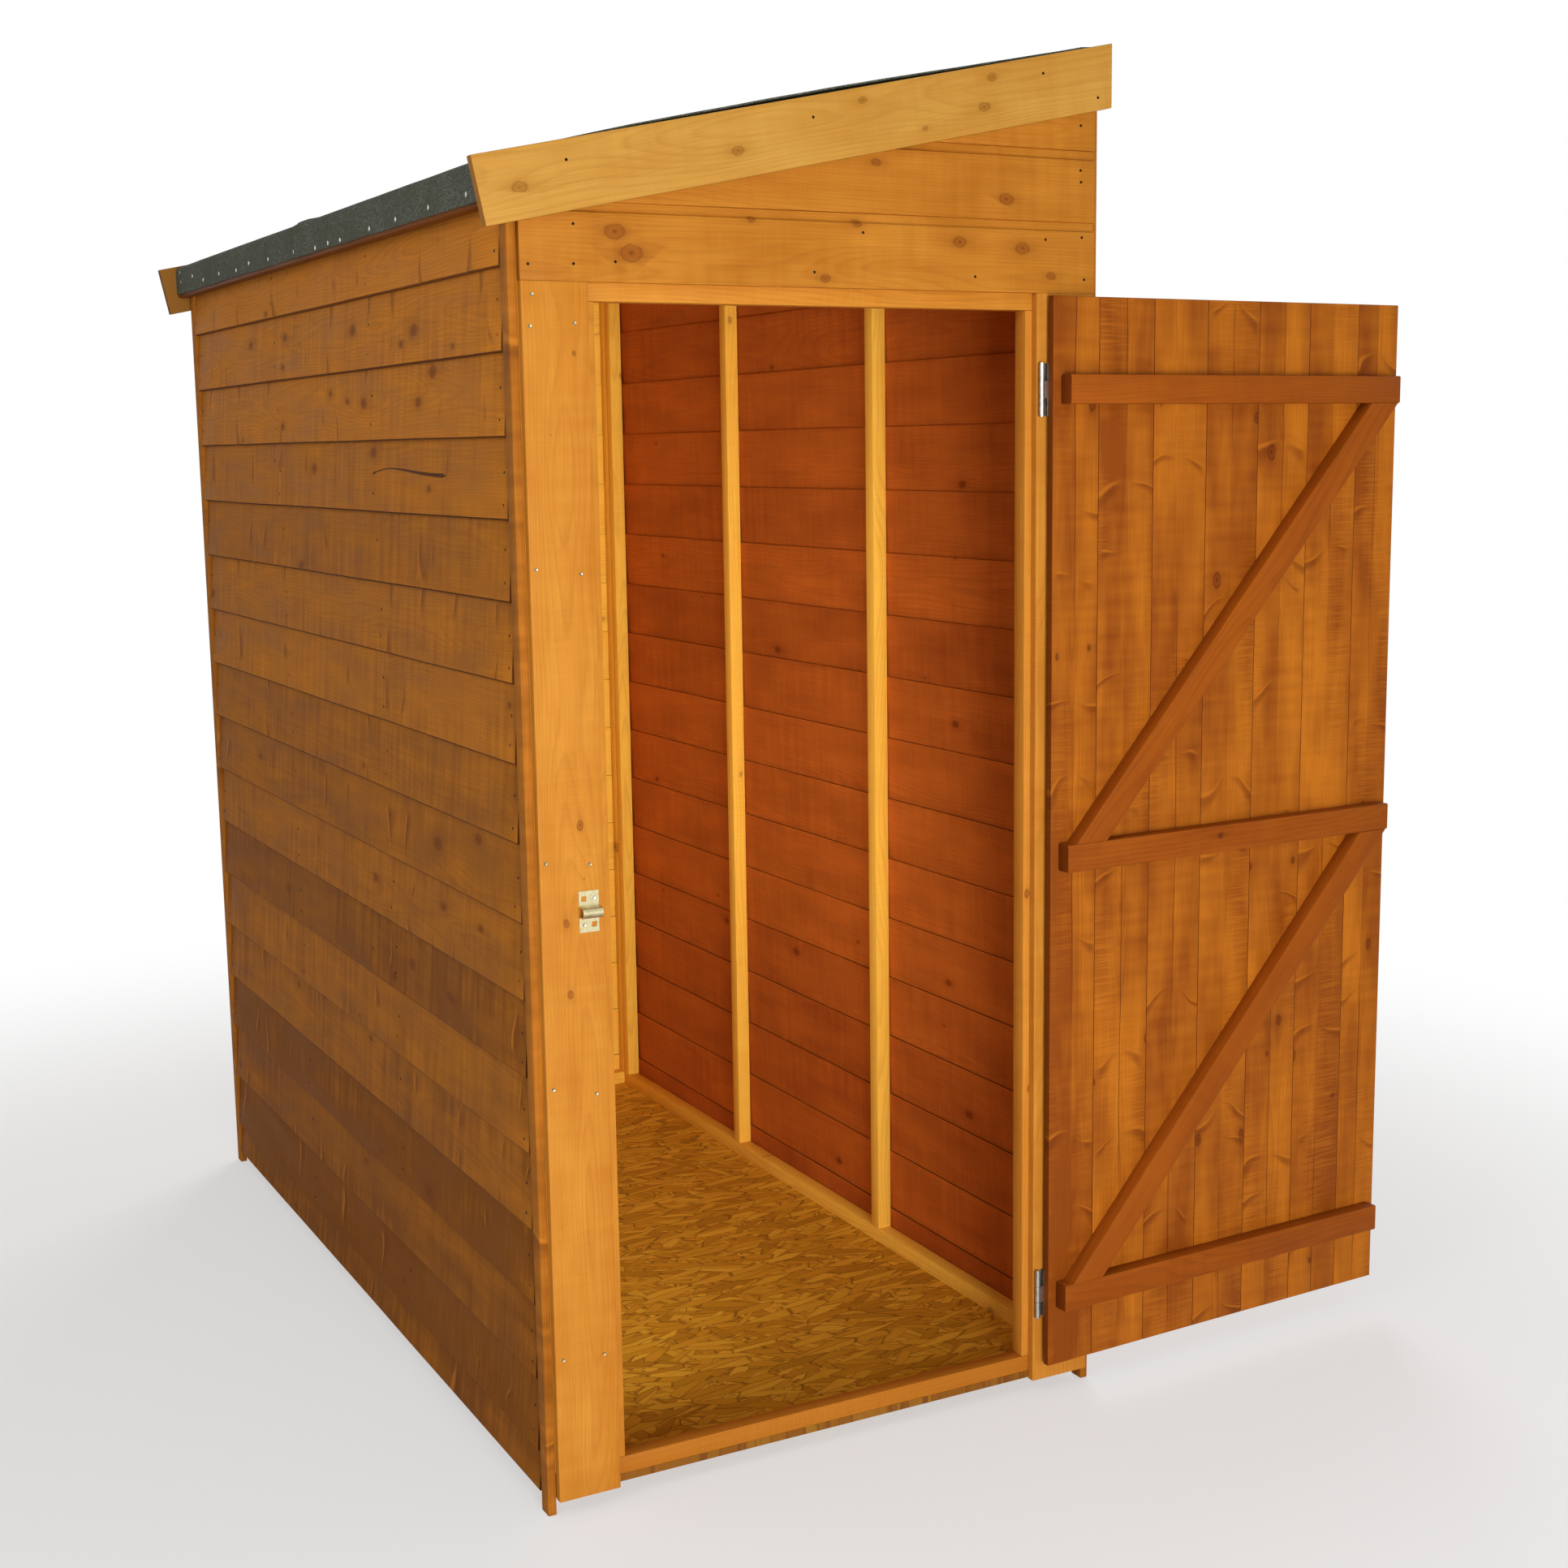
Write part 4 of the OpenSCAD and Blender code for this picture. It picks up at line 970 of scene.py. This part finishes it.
cover_screws = [(Vector((x * MM, COVER_FACE + 0.6 * MM, z * MM)), -Y) for x, z in (
    (-449, 1732), (-453, 1690), (-389, 1695), (-455, 1368), (-390, 1360), (-455, 964), (-389, 957),
    (-454, 641), (-389, 626), (-452, 240), (-389, 236), (440, 1690), (440, 1366), (440, 960), (440, 634),
    (440, 240))]
fixed("cover_board_screws", screw, cover_screws, SCREW_STEEL)


def hinge_screws(x, face):
    """The screws of the hinges' leaves on one side of the pin."""
    return [(Vector((PIN.x + x, face - 1.7 * MM, z + side * 26 * MM)), -Y)
            for z in (LEDGES[0], LEDGES[2]) for side in (-1, 1)]


shed_screws = hinge_screws(18 * MM, COVER_FACE)
shed_screws += [(Vector(((-393 + side * 7.5) * MM, COVER_FACE - 1.0 * MM, LEDGES[1] + side * 18.65 * MM)), -Y)
                for side in (-1, 1)]
fixed("hinge_and_keeper_screws", screw, shed_screws, ZINC)
door_screws = hinge_screws(-18 * MM, DOOR_OUTER)
door_screws += [(Vector(((-310 + a * 33.75) * MM, DOOR_OUTER - 1.1 * MM, LEDGES[1] + b * 15 * MM)), -Y)
                for a in (-1, 1) for b in (-1, 1)]
fixed("door_hardware_screws", screw, door_screws, ZINC, "door")

clouts = [(Vector((EAVE_FACE, y * MM, z * MM)), -X) for y, z in (
    (889, 1897), (884, 1878), (779, 1882), (687, 1868), (558, 1870), (424, 1866), (329, 1871),
    (194, 1867), (26, 1866), (-104, 1861), (-178, 1862), (-246, 1861), (-401, 1864), (-529, 1865),
    (-678, 1867), (-835, 1868))]
for i in range(18):
    clouts.append((Vector((TALL_FACE, (-880 + 104 * i + draw(-14, 14)) * MM,
                           TALL_TOP - (30 + draw(-5, 5)) * MM)), X))
for i in range(17):
    spot = EAVE + SLOPE_ALONG * (10 + 58 * i) * MM
    spot = Vector((spot.x, 6 * MM + draw(-3, 3) * MM, spot.z)) + SLOPE_UP * LAP_FACE
    clouts.append((spot, SLOPE_UP))
fixed("felt_clout_nails", clout, clouts, ZINC)
for master in (nail, screw, clout):
    bpy.data.objects.remove(master)


# CAD pieces that keep their shape get their finish

for node, material in (("floor_sheet", STRANDS), ("roof_deck", STRANDS), ("hinge_door_leaves", ZINC),
                       ("hinge_frame_leaves", ZINC), ("hinge_pins", ZINC), ("door_bolt", ZINC),
                       ("bolt_keeper", PASSIVATE)):
    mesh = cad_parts[node].data
    mesh.materials.clear()
    mesh.materials.append(material)


# Studio: a pale floor that turns white far off, soft light, and the photograph's view

def studio():
    """Floor, world, lamps and camera."""
    scene = bpy.context.scene
    scene.view_settings.view_transform = "Standard"
    bpy.ops.object.select_all(action="DESELECT")
    bpy.ops.mesh.primitive_circle_add(vertices=64, radius=40, fill_type="NGON", location=(0, 0, -0.5 * MM))
    floor = bpy.context.object
    floor.name = "studio_floor"
    bpy.ops.object.transform_apply(location=True)
    mat, node, shader = finish_named("pale_floor", Base_Color="#f4f3f1", Roughness=0.9,
                                     Specular_IOR_Level=0.1)
    place = node("TexCoord", out="Object")
    far = node("VectorMath LENGTH", place, out="Value")
    far = node("MapRange", far, 1.3, 3.2, 0.5, 1.0, interpolation_type="SMOOTHSTEP")
    seen = node("LightPath", out="Is Camera Ray")
    share = node("Math MULTIPLY", far, seen)
    white = node("Emission", Color=(1, 1, 1, 1), Strength=1.0)
    mix = node("MixShader", share, shader.outputs[0], white)
    feed(mat.node_tree.nodes["Material Output"], Surface=mix)
    floor.data.materials.append(mat)

    world = bpy.data.worlds.new("studio_light")
    world.use_nodes = True
    scene.world = world
    node = partial(add, world.node_tree)
    path = node("LightPath", out=None)
    shown = node("Math ADD", path.outputs["Is Camera Ray"], path.outputs["Is Glossy Ray"])
    shown = node("Math ADD", shown, path.outputs["Is Transmission Ray"], use_clamp=True)
    level = node("MapRange", shown, 0.0, 1.0, 0.34, 1.0)
    feed(world.node_tree.nodes["Background"], Color=(1, 1, 1, 1), Strength=level)

    for name, place, aim, wide, tall, spread, power in (
            ("key", (-0.9, -5.2, 0.9), (0.1, -0.4, 0.95), 1.6, 1.6, 180, 155),
            ("fill", (-3.2, -2.2, 2.7), (-0.4, -0.3, 1.3), 1.6, 1.6, 180, 22),
            ("rear", (3.0, 4.2, 3.0), (0.2, 0.4, 1.0), 2.4, 2.4, 180, 110),
            ("inside", (-0.30, -0.84, 1.0), (0.12, 0.5, 0.95), 0.08, 1.5, 125, 5.5)):
        data = bpy.data.lights.new(name, "AREA")
        data.shape, data.size, data.size_y, data.energy = "RECTANGLE", wide, tall, power
        data.spread = radians(spread)
        lamp = bpy.data.objects.new(name, data)
        scene.collection.objects.link(lamp)
        lamp.location = place
        lamp.rotation_euler = (Vector(aim) - Vector(place)).to_track_quat("-Z", "Y").to_euler()
        lamp.visible_camera = False

    yaw, pitch, roll = radians(27.84), radians(8.95), radians(0.82)
    ahead = Vector((sin(yaw) * cos(pitch), cos(yaw) * cos(pitch), -sin(pitch)))
    right = Vector((cos(yaw), -sin(yaw), 0))
    down = ahead.cross(right)
    over = right * cos(roll) + down * sin(roll)
    under = down * cos(roll) - right * sin(roll)
    data = bpy.data.cameras.new("photo_view")
    sensor, photo_px, focal_px = 36.0, 1932, 2632.3
    data.sensor_width, data.lens = sensor, focal_px / photo_px * sensor
    camera = bpy.data.objects.new("photo_view", data)
    scene.collection.objects.link(camera)
    camera.matrix_world = turned(over, -under, -ahead, (-1.5138, -3.6411, 1.5265))
    scene.camera = camera


studio()
